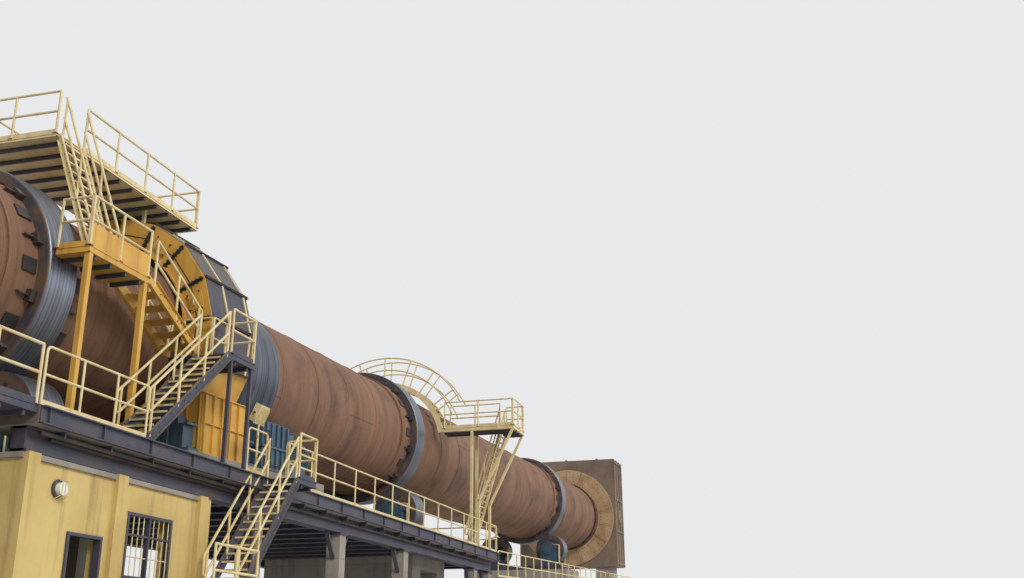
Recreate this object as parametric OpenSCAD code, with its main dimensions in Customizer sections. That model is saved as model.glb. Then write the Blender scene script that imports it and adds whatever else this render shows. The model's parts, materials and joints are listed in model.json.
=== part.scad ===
// Rotary kiln on three support stations, at 1:2 of the real size.
// X runs along the kiln from the outlet to the inlet, Z is up, the ground is at Z = 0.
// The origin is at the base of the middle pier. The kiln rises towards its inlet.

/* [Kiln shell] */
// Outer radius of the shell plate
shell_r = 1100; // [1060:10:1120]
// Wall of the shell with its brick lining
shell_wall = 110; // [60:10:160]
// Slope of the kiln in degrees
kiln_tilt = 2; // [1.75:0.25:2.25]
// Height of the axis above the ground over the middle station
axis_z = 4280; // [4250:10:4400]
// Outlet end of the shell, measured along the axis from the middle station
outlet_u = -13900; // [-14300:100:-13700]
// Inlet end of the shell, measured along the axis from the middle station
inlet_u = 19100; // [18800:100:19500]
// Extra thickness of the shell under tyres and girth gear
seat_t = 30; // [20:5:40]

/* [Tyres and rollers] */
// Station of the tyre near the outlet
tyre_a_u = -10800; // [-10900:50:-10700]
// Station of the tyre near the inlet
tyre_c_u = 12600; // [12200:100:13000]
// Outer radius of a tyre
tyre_r = 1270; // [1250:5:1290]
// Width of a tyre
tyre_w = 450; // [400:10:480]
// Radius of a support roller
roller_r = 425; // [400:5:440]
// Width of a support roller
roller_w = 500; // [490:10:540]
// Radius of a roller shaft
shaft_r = 110; // [90:5:130]
// Angle of a roller from straight below the axis
roller_deg = 30; // [28:1:32]
// Distance from the axis down to the pier tops
pier_drop = 2050; // [2045:5:2100]

/* [Girth gear] */
// Station of the girth gear
gear_u = -7875; // [-7950:25:-7800]
// Teeth on the girth gear
gear_teeth = 108; // [96:12:120]
// Teeth on the pinion
pinion_teeth = 18; // [17:1:20]
// Size of the teeth, pitch diameter over teeth
gear_module = 27; // [26.5:0.5:27.5]
// Face width of the girth gear
gear_w = 300; // [240:20:340]
// Room between the tips of the girth gear and the outside of its guard
guard_room = 100; // [90:5:140]
// Inner radius of the gear guard
guard_in_r = 1180; // [1170:5:1240]
// Width of the gear guard along the kiln
guard_w = 1050; // [950:50:1150]
// Plate thickness of the guards
guard_t = 14; // [10:2:20]

/* [Deck and stairs] */
// Height of the operating deck
deck_z = 2240; // [2220:5:2250]
// Half of the width of the deck
deck_half = 2100; // [2080:20:2200]
// Left end of the deck
deck_x0 = -11900; // [-12000:50:-11800]
// Right end of the deck
deck_x1 = 2500; // [2450:50:2700]
// Thickness of the deck slab
deck_t = 160; // [120:20:200]
// Height of the handrails
rail_h = 550; // [500:10:600]
// Thickness of rails and posts
rail_bar = 20; // [16:2:26]
// Clear width of the stairs
stair_w = 400; // [350:10:420]
// Height of the stair landing above the deck
landing_rise = 1300; // [1200:20:1400]
// Height of the upper platform above the deck
upper_rise = 1880; // [1860:20:1960]

/* [Hidden] */

fit_gap = 0.3;
seat_r = shell_r + seat_t;
bore_r = shell_r - shell_wall;
stations = [tyre_a_u, 0, tyre_c_u];

// Station frames: u along the axis, the rest square to it.
module on_axis(u) {
    translate([0, 0, axis_z])
        rotate([0, -kiln_tilt, 0])
            translate([u, 0, 0])
                children();
}

function axis_at(x) = axis_z + x * tan(kiln_tilt);
function plane_at(x, drop) = axis_at(x) - drop / cos(kiln_tilt);
function foot_x(u, drop) = u * cos(kiln_tilt) + drop * sin(kiln_tilt);

module drum(r, len) {
    rotate([0, 90, 0])
        cylinder(r = r, h = len, center = true, $fn = 96);
}

// A finer drum, to cut seats that fit a round casing.
module saddle(r, len) {
    rotate([0, 90, 0])
        cylinder(r = r, h = len, center = true, $fn = 720);
}

module ring(r_out, r_in, len) {
    difference() {
        drum(r_out, len);
        drum(r_in, len + 2);
    }
}

module block(x0, x1, y0, y1, z0, z1) {
    translate([x0, y0, z0])
        cube([x1 - x0, y1 - y0, z1 - z0]);
}

// A plate cut from a side outline in X and Z, from y0 to y1.
module side_plate(points, y0, y1) {
    translate([0, y1, 0])
        rotate([90, 0, 0])
            linear_extrude(y1 - y0)
                polygon(points);
}

// A plate cut from an end outline in Y and Z, from x0 to x1.
module end_plate(points, x0, x1) {
    translate([x0, 0, 0])
        rotate([90, 0, 90])
            linear_extrude(x1 - x0)
                polygon(points);
}

// Kiln shell and what turns with it.
gear_seat_w = 700;
tyre_seat_w = 1300;
band_u = -6150;
band_w = 950;
band_t = 18;

// The shell is welded up from three lengths. They meet in the open spans.
weld_u1 = -4200;
weld_u2 = 6800;

module shell_length(u0, u1) {
    color([0.42, 0.27, 0.18])
        on_axis(0)
            difference() {
                union() {
                    translate([(u0 + u1) / 2, 0, 0])
                        drum(shell_r, u1 - u0);
                    for (u = stations)
                        if (u > u0 && u < u1)
                            translate([u, 0, 0])
                                drum(seat_r, tyre_seat_w);
                    if (gear_u > u0 && gear_u < u1) {
                        translate([gear_u, 0, 0])
                            drum(seat_r, gear_seat_w);
                        translate([band_u, 0, 0])
                            drum(shell_r + band_t, band_w);
                    }
                }
                translate([(u0 + u1) / 2, 0, 0])
                    drum(bore_r, u1 - u0 + 2);
            }
}

module shell_outlet_length() {
    shell_length(outlet_u, weld_u1);
}

module shell_middle_length() {
    shell_length(weld_u1, weld_u2);
}

module shell_inlet_length() {
    shell_length(weld_u2, inlet_u);
}

tyre_edge = 18;

module tyre(u) {
    half = tyre_w / 2;
    color([0.30, 0.33, 0.38])
        on_axis(u)
            rotate([0, 90, 0])
                rotate_extrude($fn = 96)
                    polygon([
                        [seat_r + fit_gap, -half], [tyre_r - tyre_edge, -half], [tyre_r, -half + tyre_edge],
                        [tyre_r, half - tyre_edge], [tyre_r - tyre_edge, half], [seat_r + fit_gap, half]
                    ]);
}

module tyre_outlet_end() {
    tyre(tyre_a_u);
}

module tyre_middle() {
    tyre(0);
}

module tyre_inlet_end() {
    tyre(tyre_c_u);
}

stop_count = 12;
stop_len = 90;
stop_wide = 120;
stop_high = 70;
stop_off = tyre_w / 2 + fit_gap + stop_len / 2;

module tyre_stop_blocks() {
    color([0.25, 0.22, 0.2])
        for (u = stations)
            on_axis(u)
                for (side = [-1, 1])
                    for (i = [0 : stop_count - 1])
                        rotate([(i + 0.5) * 360 / stop_count, 0, 0])
                            translate([side * stop_off, 0, seat_r + stop_high / 2])
                                cube([stop_len, stop_wide, stop_high], center = true);
}

// Involute teeth. Each flank is a short run of points on the involute of the base circle.
pressure_deg = 20;
flank_steps = 3;
tooth_share = 0.455;

function inv_deg(a) = tan(a) * 180 / PI - a;
function flank_deg(rp, teeth, r) =
    let (base = rp * cos(pressure_deg), a = r > base ? acos(base / r) : 0)
    tooth_share * 180 / teeth + inv_deg(pressure_deg) - inv_deg(a);
function flank_points(rp, teeth, r0, r1, side) = [
    for (k = [0 : flank_steps])
        let (t = side < 0 ? k : flank_steps - k, r = r0 + (r1 - r0) * t / flank_steps)
        [r, side * flank_deg(rp, teeth, r)]
];
function gear_outline(teeth, add, ded) =
    let (rp = teeth * gear_module / 2)
    [
        for (i = [0 : teeth - 1], side = [-1, 1], p = flank_points(rp, teeth, rp - ded, rp + add, side))
            p[0] * [cos(i * 360 / teeth + p[1]), sin(i * 360 / teeth + p[1])]
    ];
function round_outline(r, sides) = [
    for (i = [0 : sides - 1])
        r * [cos(i * 360 / sides), sin(i * 360 / sides)]
];

gear_add = gear_module * 0.9;
gear_ded = gear_module * 1.2;
gear_pitch_r = gear_teeth * gear_module / 2;
pinion_pitch_r = pinion_teeth * gear_module / 2;
guard_r = gear_pitch_r + gear_add + guard_room;
gear_in_r = gear_pitch_r - gear_ded - 55;
gear_in_sides = 72;
mesh_deg = 225;
mesh_dist = gear_pitch_r + pinion_pitch_r;
pinion_y = mesh_dist * cos(mesh_deg);
pinion_z = mesh_dist * sin(mesh_deg);
pinion_w = gear_w + 40;

module girth_gear() {
    color([0.22, 0.2, 0.18])
        on_axis(gear_u - gear_w / 2)
            rotate([90, 0, 90])
                rotate(mesh_deg + 180 / gear_teeth)
                    linear_extrude(gear_w)
                        difference() {
                            polygon(gear_outline(gear_teeth, gear_add, gear_ded));
                            polygon(round_outline(gear_in_r, gear_in_sides));
                        }
}

plate_count = 12;
plate_t = 24;
plate_w = 220;
plate_len = sqrt(pow(gear_in_r * cos(180 / gear_in_sides) - fit_gap, 2) - pow(seat_r + plate_t, 2));

module gear_spring_plates() {
    color([0.3, 0.25, 0.2])
        on_axis(gear_u)
            for (i = [0 : plate_count - 1])
                rotate([i * 360 / plate_count, 0, 0])
                    translate([-plate_w / 2, 0, seat_r])
                        cube([plate_w, plate_len, plate_t]);
}

nose_w = 160;
nose_h = 45;

module shell_end_rings() {
    color([0.22, 0.18, 0.16])
        for (u = [outlet_u + nose_w / 2, inlet_u - 900])
            on_axis(u)
                ring(shell_r + nose_h, shell_r + fit_gap, nose_w);
}

// Pinion in mesh with the girth gear, on the near side below the axis.
pinion_shaft_r = 90;
pinion_shaft_len = guard_w / 2 + 300;
coupling_r = 170;
coupling_w = 160;

module at_pinion() {
    on_axis(gear_u)
        translate([0, pinion_y, pinion_z])
            children();
}

module pinion() {
    color([0.35, 0.33, 0.3])
        at_pinion()
            translate([-pinion_w / 2, 0, 0])
                rotate([90, 0, 90])
                    rotate(mesh_deg + 180)
                        linear_extrude(pinion_w)
                            polygon(gear_outline(pinion_teeth, gear_add, gear_ded));
}

module pinion_shaft() {
    color([0.5, 0.5, 0.5])
        at_pinion() {
            translate([-(pinion_w + pinion_shaft_len - pinion_w / 2) / 2, 0, 0])
                drum(pinion_shaft_r, pinion_shaft_len - pinion_w / 2);
            translate([(pinion_w + pinion_shaft_len - pinion_w / 2) / 2, 0, 0])
                drum(pinion_shaft_r, pinion_shaft_len - pinion_w / 2);
            translate([pinion_w / 2 + pinion_shaft_len - pinion_w / 2 + coupling_w / 2, 0, 0])
                drum(coupling_r, coupling_w);
        }
}

// Support rollers, their bearings and bedplates.
roller_dist = tyre_r + roller_r + fit_gap;
roller_y = roller_dist * sin(roller_deg);
roller_z = -roller_dist * cos(roller_deg);
bearing_gap = 30;
bearing_w = 200;
bearing_r = 210;
bearing_half_y = 230;
shaft_clear = 0.05;
bed_t = 120;
bed_half_x = 620;
bed_half_y = 1250;
bed_top = -pier_drop + bed_t;

module roller(u, side) {
    color([0.45, 0.45, 0.47])
        on_axis(u)
            translate([0, side * roller_y, roller_z]) {
                drum(roller_r, roller_w);
                drum(shaft_r, roller_w + 2 * (bearing_gap + bearing_w) + 40);
            }
}

module roller_1_near() {
    roller(tyre_a_u, -1);
}

module roller_1_far() {
    roller(tyre_a_u, 1);
}

module roller_2_near() {
    roller(0, -1);
}

module roller_2_far() {
    roller(0, 1);
}

module roller_3_near() {
    roller(tyre_c_u, -1);
}

module roller_3_far() {
    roller(tyre_c_u, 1);
}

module roller_bearings() {
    color([0.2, 0.3, 0.35])
        for (u = stations, side = [-1, 1], end = [-1, 1])
            on_axis(u)
                translate([end * (roller_w / 2 + bearing_gap + bearing_w / 2), side * roller_y, 0])
                    difference() {
                        union() {
                            translate([0, 0, roller_z])
                                drum(bearing_r, bearing_w);
                            block(
                                -bearing_w / 2, bearing_w / 2, -bearing_half_y, bearing_half_y,
                                bed_top, roller_z
                            );
                        }
                        translate([0, 0, roller_z])
                            drum(shaft_r + shaft_clear, bearing_w + 2);
                    }
}

bed_pit = 140;

module bedplates() {
    color([0.2, 0.22, 0.25])
        for (u = stations)
            on_axis(u)
                difference() {
                    block(-bed_half_x, bed_half_x, -bed_half_y, bed_half_y, -pier_drop, bed_top);
                    block(-bed_pit, bed_pit, -bed_pit * 3, bed_pit * 3, -pier_drop - 1, bed_top + 1);
                }
}

// Concrete piers. Their tops slope with the kiln.
pier_half_x = 900;
pier_half_y = 1450;

pier_leg = 450;
pier_head = 480;
pier_sill = 300;

module pier(u) {
    x0 = foot_x(u, pier_drop) - pier_half_x;
    x1 = foot_x(u, pier_drop) + pier_half_x;
    head_z = plane_at(x0, pier_drop) - pier_head;
    color([0.5, 0.46, 0.4])
        difference() {
            side_plate(
                [
                    [x0, 0], [x1, 0],
                    [x1, plane_at(x1, pier_drop + fit_gap)], [x0, plane_at(x0, pier_drop + fit_gap)]
                ],
                -pier_half_y, pier_half_y
            );
            block(x0 + pier_leg, x1 - pier_leg, -pier_half_y - 1, pier_half_y + 1, pier_sill, head_z);
        }
}

module pier_1() {
    pier(tyre_a_u);
}

module pier_2() {
    pier(0);
}

module pier_3() {
    pier(tyre_c_u);
}

// Kiln hood at the outlet.
hood_x0 = -15500;
hood_x1 = -13650;
hood_half = 1500;
hood_z0 = 2300;
hood_z1 = 5300;
hood_wall = 80;
seal_clear = 12;
collar_u0 = hood_x1 / cos(kiln_tilt) - 60;
collar_u1 = hood_x1 / cos(kiln_tilt) + 130;

hood_bevel = 500;

function hood_outline(w) = [
    [-hood_half + w, hood_z0 + w], [hood_half - w, hood_z0 + w],
    [hood_half - w, hood_z1 - hood_bevel - w], [hood_half - hood_bevel - w, hood_z1 - w],
    [-hood_half + hood_bevel + w, hood_z1 - w], [-hood_half + w, hood_z1 - hood_bevel - w]
];

module kiln_hood() {
    color([0.36, 0.3, 0.24])
        difference() {
            union() {
                end_plate(hood_outline(0), hood_x0, hood_x1);
                on_axis(collar_u0)
                    rotate([0, 90, 0])
                        cylinder(r = seal_r - 30, h = collar_u1 - collar_u0, $fn = 96);
            }
            end_plate(hood_outline(hood_wall), hood_x0 + hood_wall, hood_x1 - hood_wall);
            on_axis(collar_u1)
                drum(shell_r + nose_h + 30, 900);
        }
}

module hood_pier() {
    color([0.5, 0.46, 0.4])
        difference() {
            block(hood_x0 + 100, hood_x1 - 50, -1400, 1400, 0, hood_z0);
            block(hood_x0 + 500, hood_x1 - 450, -1401, 1401, -1, hood_z0 - 500);
        }
}

// Ring of overlapping plates that closes the gap between shell and hood.
seal_segments = 18;
seal_w = 60;
seal_r = 1440;
lap_r = 1650;

module seal_plate_ring(r_out) {
    difference() {
        drum(r_out, seal_w);
        drum(shell_r + seal_clear, seal_w + 2);
        for (i = [0 : seal_segments - 1])
            rotate([i * 360 / seal_segments, 0, 0])
                block(-seal_w / 2 - 1, -seal_w / 2 + 12, -4, 4, shell_r, r_out + 1);
    }
}

module outlet_seal() {
    color([0.55, 0.45, 0.3])
        on_axis(collar_u1 + seal_w / 2)
            mirror([1, 0, 0])
                seal_plate_ring(seal_r);
}

chamber_u0 = inlet_u - 350;
chamber_w = 1500;
chamber_half = 1700;
chamber_wall = 80;

module inlet_seal() {
    color([0.62, 0.52, 0.38])
        on_axis(chamber_u0 - seal_w / 2)
            seal_plate_ring(lap_r);
}

chamber_top = chamber_half + 300;

module chamber_box(w) {
    block(w, chamber_w - w, -chamber_half + w, chamber_half - w, -chamber_half + w, chamber_top - w);
}

module inlet_chamber() {
    color([0.4, 0.34, 0.27])
        on_axis(chamber_u0)
            difference() {
                chamber_box(0);
                chamber_box(chamber_wall);
                drum(shell_r + 30, 500);
            }
}

module inlet_pier() {
    u0 = chamber_u0 + 100;
    u1 = chamber_u0 + chamber_w - 100;
    x0 = foot_x(u0, chamber_half);
    x1 = foot_x(u1, chamber_half);
    color([0.5, 0.46, 0.4])
        for (y = [-pier_half_y, pier_half_y - 500])
            side_plate(
                [
                    [x0, 0], [x1, 0],
                    [x1, plane_at(x1, chamber_half + fit_gap)], [x0, plane_at(x0, chamber_half + fit_gap)]
                ],
                y, y + 500
            );
}

// Gear guard: an annular casing of flanged segments, with the pinion casing below on the near side.
guard_segments = 18;
casing_y0 = pinion_y - 330;
casing_z0 = pinion_z - 320;
casing_z1 = pinion_z + 420;
shaft_hole_r = pinion_shaft_r + 10;

guard_turn = 95;

// The space of the guard's outline: flat segments that meet at the flange ribs.
module guard_prism(r, len) {
    translate([-len / 2, 0, 0])
        rotate([90, 0, 90])
            rotate(guard_turn)
                linear_extrude(len)
                    polygon(round_outline(r, guard_segments));
}

module casing_space(inset) {
    block(
        -guard_w / 2 + inset, guard_w / 2 - inset, casing_y0 + inset, pinion_y + 500,
        casing_z0 + inset, casing_z1 - inset
    );
}

module pinion_hole() {
    translate([0, pinion_y, pinion_z])
        drum(shaft_hole_r, guard_w + 2);
}

module gear_guard() {
    color([0.80, 0.55, 0.15])
        on_axis(gear_u)
            difference() {
                guard_prism(guard_r, guard_w);
                guard_prism(guard_r - guard_t / cos(180 / guard_segments), guard_w - 2 * guard_t);
                drum(guard_in_r, guard_w + 2);
                intersection() {
                    casing_space(guard_t);
                    ring(guard_r + 5, guard_r - 5 * guard_t, guard_w - 2 * guard_t);
                }
                pinion_hole();
            }
}

rib_t = 12;
rib_h = 34;

module guard_ribs() {
    color([0.25, 0.16, 0.08])
        on_axis(gear_u)
            for (i = [0 : guard_segments - 1], side = [-1, 1])
                rotate([(i + 0.25) * 360 / guard_segments, 0, 0])
                    translate([side * (guard_w / 2 + rib_h / 2), 0, (guard_in_r + guard_r) / 2])
                        cube([rib_h, rib_t, guard_r - guard_in_r - 40], center = true);
}

module pinion_guard() {
    color([0.80, 0.55, 0.15])
        on_axis(gear_u)
            difference() {
                casing_space(0);
                casing_space(guard_t);
                guard_prism(guard_r, guard_w + 2);
                pinion_hole();
            }
}

stool_half = 110;
stool_in = 160;
stool_ys = [-0.28 * guard_r, 0.37 * guard_r];

module guard_stools() {
    color([0.3, 0.3, 0.32])
        for (side = [-1, 1], y = stool_ys)
            difference() {
                translate([gear_u + side * (guard_w / 2 - stool_in), y, 0])
                    block(
                        -stool_half, stool_half, -stool_half, stool_half,
                        deck_z, axis_at(gear_u) - 0.85 * guard_r
                    );
                on_axis(gear_u)
                    guard_prism(guard_r, guard_w + 2 * stool_half);
            }
}

// Drive: plinth, pinion bearings, gearbox and motor.
plinth_drop = -casing_z0;
plinth_u0 = gear_u - guard_w / 2 - 300;
plinth_u1 = gear_u + guard_w / 2 + 2350;
plinth_y0 = casing_y0 - 40;
plinth_y1 = pinion_y + 380;
pinion_block_w = 220;

module drive_plinth() {
    x0 = foot_x(plinth_u0, plinth_drop);
    x1 = foot_x(plinth_u1, plinth_drop);
    color([0.48, 0.45, 0.4])
        side_plate(
            [
                [x0, deck_z], [x1, deck_z],
                [x1, plane_at(x1, plinth_drop + fit_gap)], [x0, plane_at(x0, plinth_drop + fit_gap)]
            ],
            plinth_y0, plinth_y1
        );
}

module pinion_bearings() {
    color([0.2, 0.3, 0.35])
        at_pinion()
            for (side = [-1, 1])
                translate([side * (guard_w / 2 + 60 + pinion_block_w / 2), 0, 0])
                    difference() {
                        union() {
                            drum(190, pinion_block_w);
                            block(
                                -pinion_block_w / 2, pinion_block_w / 2, -260, 260, -plinth_drop - pinion_z, 0
                            );
                        }
                        drum(pinion_shaft_r + shaft_clear, pinion_block_w + 2);
                    }
}

gearbox_x0 = pinion_shaft_len + coupling_w + 12;
gearbox_len = 760;
motor_len = 700;

module gearbox() {
    color([0.15, 0.25, 0.35])
        at_pinion() {
            block(gearbox_x0, gearbox_x0 + gearbox_len, -330, 330, -plinth_drop - pinion_z, 330);
            translate([gearbox_x0 + gearbox_len + 60, 0, 0])
                drum(80, 120);
        }
}

module drive_motor() {
    color([0.2, 0.35, 0.4])
        at_pinion()
            translate([gearbox_x0 + gearbox_len + 120 + motor_len / 2, 0, 0]) {
                drum(240, motor_len);
                block(-motor_len / 2 + 60, motor_len / 2 - 60, -230, 230, -plinth_drop - pinion_z, 0);
            }
}

// Deck, its beams, columns and the walled bay below it.
module deck_slab() {
    color([0.45, 0.4, 0.35])
        difference() {
            block(deck_x0, deck_x1, -deck_half, deck_half, deck_z - deck_t, deck_z);
            on_axis(gear_u)
                saddle(guard_r + guard_t, guard_w + 4 * guard_t);
            for (u = [tyre_a_u, 0])
                block(
                    foot_x(u, pier_drop) - pier_half_x, foot_x(u, pier_drop) + pier_half_x,
                    -pier_half_y, pier_half_y, deck_z - deck_t - 1, deck_z + 1
                );
        }
}

beam_h = 220;
beam_w = 140;
beam_z = deck_z - deck_t - beam_h;

module deck_beams() {
    color([0.3, 0.27, 0.24])
        for (side = [-1, 1])
            translate([0, side * (deck_half - 150 - beam_w / 2), 0])
                block(deck_x0 + 40, deck_x1 - 40, -beam_w / 2, beam_w / 2, beam_z, deck_z - deck_t);
}

// Joists between the two long beams, left out where a pier stands.
joist_w = 80;
joist_h = 160;
joist_pitch = 620;
joist_x0 = -9700;
joist_count = floor((deck_x1 - 60 - joist_x0) / joist_pitch);
pier_free = pier_half_x + joist_w + 20;

module deck_joists() {
    y1 = deck_half - 150 - beam_w - fit_gap;
    color([0.34, 0.28, 0.22])
        for (i = [0 : joist_count])
            let (x = joist_x0 + i * joist_pitch)
            if (abs(x - foot_x(0, pier_drop)) > pier_free)
                block(x, x + joist_w, -y1, y1, deck_z - deck_t - joist_h, deck_z - deck_t);
}

column_xs = [-7600, -5100, -2550, 1300, 2300];
column_w = 200;

module deck_columns() {
    color([0.42, 0.36, 0.3])
        for (x = column_xs, side = [-1, 1])
            translate([x, side * (deck_half - 150 - beam_w / 2), 0])
                block(-column_w / 2, column_w / 2, -column_w / 2, column_w / 2, 0, beam_z);
}

wall_t = 140;
wall_y = -(deck_half - 150);
wall_x0 = deck_x0 + 60;
wall_x1 = -8700;
door_x = -11150;
door_w = 520;
door_h = 1250;
window_x = -10250;
window_w = 800;
window_z = 900;
window_h = 640;

module base_wall() {
    color([0.7, 0.55, 0.25])
        difference() {
            union() {
                block(wall_x0, wall_x1, wall_y, wall_y + wall_t, 0, beam_z);
                block(wall_x0, wall_x0 + wall_t, wall_y, -wall_y, 0, beam_z);
                block(wall_x0, wall_x1, -wall_y - wall_t, -wall_y, 0, beam_z);
                for (x = [wall_x0, -10520, -9000])
                    block(x, x + 160, wall_y - 50, wall_y + wall_t, 0, beam_z);
            }
            block(door_x, door_x + door_w, wall_y - 60, wall_y + wall_t + 1, -1, door_h);
            block(
                window_x, window_x + window_w, wall_y - 1, wall_y + wall_t + 1,
                window_z, window_z + window_h
            );
        }
}

// A run of railing along X: posts, two rails and a toe plate, from x = 0 to len.
rail_pitch = 760;
toe_h = 60;
toe_t = 6;

module rail_run(len) {
    bays = max(1, ceil(len / rail_pitch));
    for (i = [0 : bays])
        translate([i * (len - rail_bar) / bays, 0, 0])
            cube([rail_bar, rail_bar, rail_h]);
    for (z = [rail_h - rail_bar, rail_h / 2])
        translate([0, 0, z])
            cube([len, rail_bar, rail_bar]);
    translate([0, rail_bar / 2 - toe_t / 2, 0])
        cube([len, toe_t, toe_h]);
}

rail_in = 20;
stair_gap_x0 = -7700;
stair_gap_x1 = stair_gap_x0 + stair_w + 2 * rail_bar + 80;

module railing_near() {
    color([0.75, 0.68, 0.45])
        translate([0, -deck_half + rail_in, deck_z]) {
            translate([deck_x0 + rail_in, 0, 0])
                rail_run(middle_foot_x - 20 - deck_x0 - rail_in);
            translate([landing_x0 + landing_len, 0, 0])
                rail_run(stair_gap_x0 - landing_x0 - landing_len);
            translate([stair_gap_x1, 0, 0])
                rail_run(deck_x1 - rail_in - stair_gap_x1);
        }
}

module railing_far() {
    color([0.75, 0.68, 0.45])
        translate([deck_x0 + rail_in, deck_half - rail_in - rail_bar, deck_z])
            rail_run(deck_x1 - deck_x0 - 2 * rail_in);
}

rail_gap_y = 620;

module end_rail(x, y0, y1) {
    translate([x, y0, deck_z])
        rotate([0, 0, 90])
            translate([0, -rail_bar, 0])
                rail_run(y1 - y0);
}

module railing_ends() {
    y1 = deck_half - rail_in - rail_bar;
    color([0.75, 0.68, 0.45]) {
        end_rail(deck_x0 + rail_in, walkway_y1 + rail_bar, -rail_gap_y);
        end_rail(deck_x0 + rail_in, rail_gap_y, y1);
        end_rail(deck_x1 - rail_in - rail_bar, -y1, y1);
    }
}

// Walkway from the deck to the kiln hood.
walkway_y0 = -deck_half + rail_in;
walkway_y1 = -1300;
walkway_x0 = hood_x1 - 50 + fit_gap;

module hood_walkway() {
    color([0.3, 0.28, 0.27]) {
        block(walkway_x0, deck_x0 - fit_gap, walkway_y0, walkway_y1, deck_z - frame_h, deck_z);
        for (x = [walkway_x0 + 20, deck_x0 - 800])
            block(x, x + 60, walkway_y0 + 10, walkway_y0 + 70, 0, deck_z - frame_h);
        for (y = [walkway_y0, walkway_y1 - rail_bar])
            translate([hood_x1 + 30, y, deck_z])
                rail_run(deck_x0 - hood_x1 - 50);
    }
}

// A flight of open treads between two stringers, from (0, 0) up to (run, rise), y from 0 to stair_w.
tread_t = 12;
string_t = 16;

module flight(rise, run, steps, rails) {
    r = rise / steps;
    g = run / steps;
    outline = [
        [0, 0], [0.7 * g, 0], [run, (run - 0.7 * g) * r / g], [run, rise], [run - 0.7 * g, rise], [0, 0.7 * r]
    ];
    side_plate(outline, 0, string_t);
    side_plate(outline, stair_w - string_t, stair_w);
    for (i = [1 : steps - 1])
        block((i - 0.95) * g, (i + 0.1) * g, string_t - 2, stair_w - string_t + 2, i * r - tread_t, i * r);
    post_n = max(2, round(run / 500));
    if (rails)
        for (y = [0, stair_w - rail_bar]) {
            for (i = [0 : post_n])
                let (x = g * 0.3 + 3 + i * (run - g * 0.9 - rail_bar - 6) / post_n)
                block(x, x + rail_bar, y + 1, y + rail_bar - 1, x * r / g, x * r / g + rail_h - rail_bar / 2);
            for (h = [rail_h / 2, rail_h - rail_bar])
                side_plate([
                    [0.3 * g, 0.3 * r + h], [run - 0.6 * g, rise - 0.6 * r + h],
                    [run - 0.6 * g, rise - 0.6 * r + h + rail_bar], [0.3 * g, 0.3 * r + h + rail_bar]
                ], y, y + rail_bar);
        }
}

stair_y = -deck_half + rail_in;
middle_foot_x = -10250;
middle_run = 1500;
middle_steps = 14;
upper_run = 1150;
upper_steps = 6;
landing_x0 = middle_foot_x + middle_run;
landing_len = 560;
landing_in_len = 260;
inner_y = stair_y + stair_w + 20;
landing_z = deck_z + landing_rise;
upper_z = deck_z + upper_rise;
frame_h = 70;

lower_x0 = -9900;
lower_x1 = -9000;
lower_y0 = -deck_half - 650;
lower_y1 = -deck_half - 1;
lower_z = 700;
lower_steps = 16;
leg_w = 40;
head_x0 = stair_gap_x0 + leg_w;
head_y0 = -deck_half - stair_w - fit_gap;

module lower_landing() {
    color([0.7, 0.5, 0.2]) {
        block(lower_x0, lower_x1, lower_y0, lower_y1, lower_z - frame_h, lower_z);
        for (x = [lower_x0 + 20, lower_x1 - 20 - leg_w], y = [lower_y0 + 20, lower_y1 - 20 - leg_w])
            block(x, x + leg_w, y, y + leg_w, 0, lower_z - frame_h);
        translate([lower_x0, lower_y0, lower_z])
            rail_run(lower_x1 - lower_x0);
    }
}

module lower_stair() {
    color([0.25, 0.27, 0.33])
        translate([lower_x1, -deck_half - stair_w - fit_gap, lower_z])
            flight(deck_z - lower_z, head_x0 - lower_x1, lower_steps, true);
    color([0.25, 0.27, 0.33]) {
        block(head_x0, stair_gap_x1, head_y0, -deck_half - fit_gap, deck_z - frame_h, deck_z);
        translate([head_x0, head_y0, deck_z])
            rail_run(stair_gap_x1 - head_x0);
        translate([stair_gap_x1, head_y0 + rail_bar, deck_z])
            rotate([0, 0, 90])
                rail_run(stair_w - rail_bar);
    }
}

module middle_stair() {
    color([0.3, 0.28, 0.27])
        translate([middle_foot_x, stair_y, deck_z])
            flight(landing_rise, middle_run, middle_steps, true);
}

module stair_landing() {
    under_z = landing_z - frame_h;
    post_y = inner_y + stair_w - leg_w - 20;
    color([0.3, 0.28, 0.27]) {
        block(landing_x0, landing_x0 + landing_len, stair_y, inner_y, under_z, landing_z);
        block(landing_x0, landing_x0 + landing_in_len, inner_y, inner_y + stair_w, under_z, landing_z);
        for (x = [landing_x0 + 20, landing_x0 + landing_len - 20 - leg_w])
            block(x, x + leg_w, stair_y, stair_y + leg_w, deck_z, under_z);
        block(landing_x0 + 20, landing_x0 + 20 + leg_w, post_y, post_y + leg_w, deck_z, under_z);
        translate([landing_x0, stair_y, landing_z])
            rail_run(landing_len);
        translate([landing_x0 + landing_len, stair_y + rail_bar, landing_z])
            rotate([0, 0, 90])
                rail_run(inner_y - stair_y - rail_bar);
        translate([landing_x0 + landing_in_len, inner_y, landing_z])
            rotate([0, 0, 90])
                rail_run(stair_w);
        translate([landing_x0 + landing_in_len - rail_bar, inner_y - rail_bar, landing_z])
            rail_run(landing_len - landing_in_len + rail_bar);
    }
}

module upper_stair() {
    color([0.8, 0.6, 0.15])
        translate([landing_x0, inner_y, landing_z])
            mirror([1, 0, 0])
                flight(upper_rise - landing_rise, upper_run, upper_steps, true);
}

upper_x1 = landing_x0 - upper_run;
upper_x0 = deck_x0 + 950;
upper_y1 = -1265;
panel_h = 250;
panel_t = 6;

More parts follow.
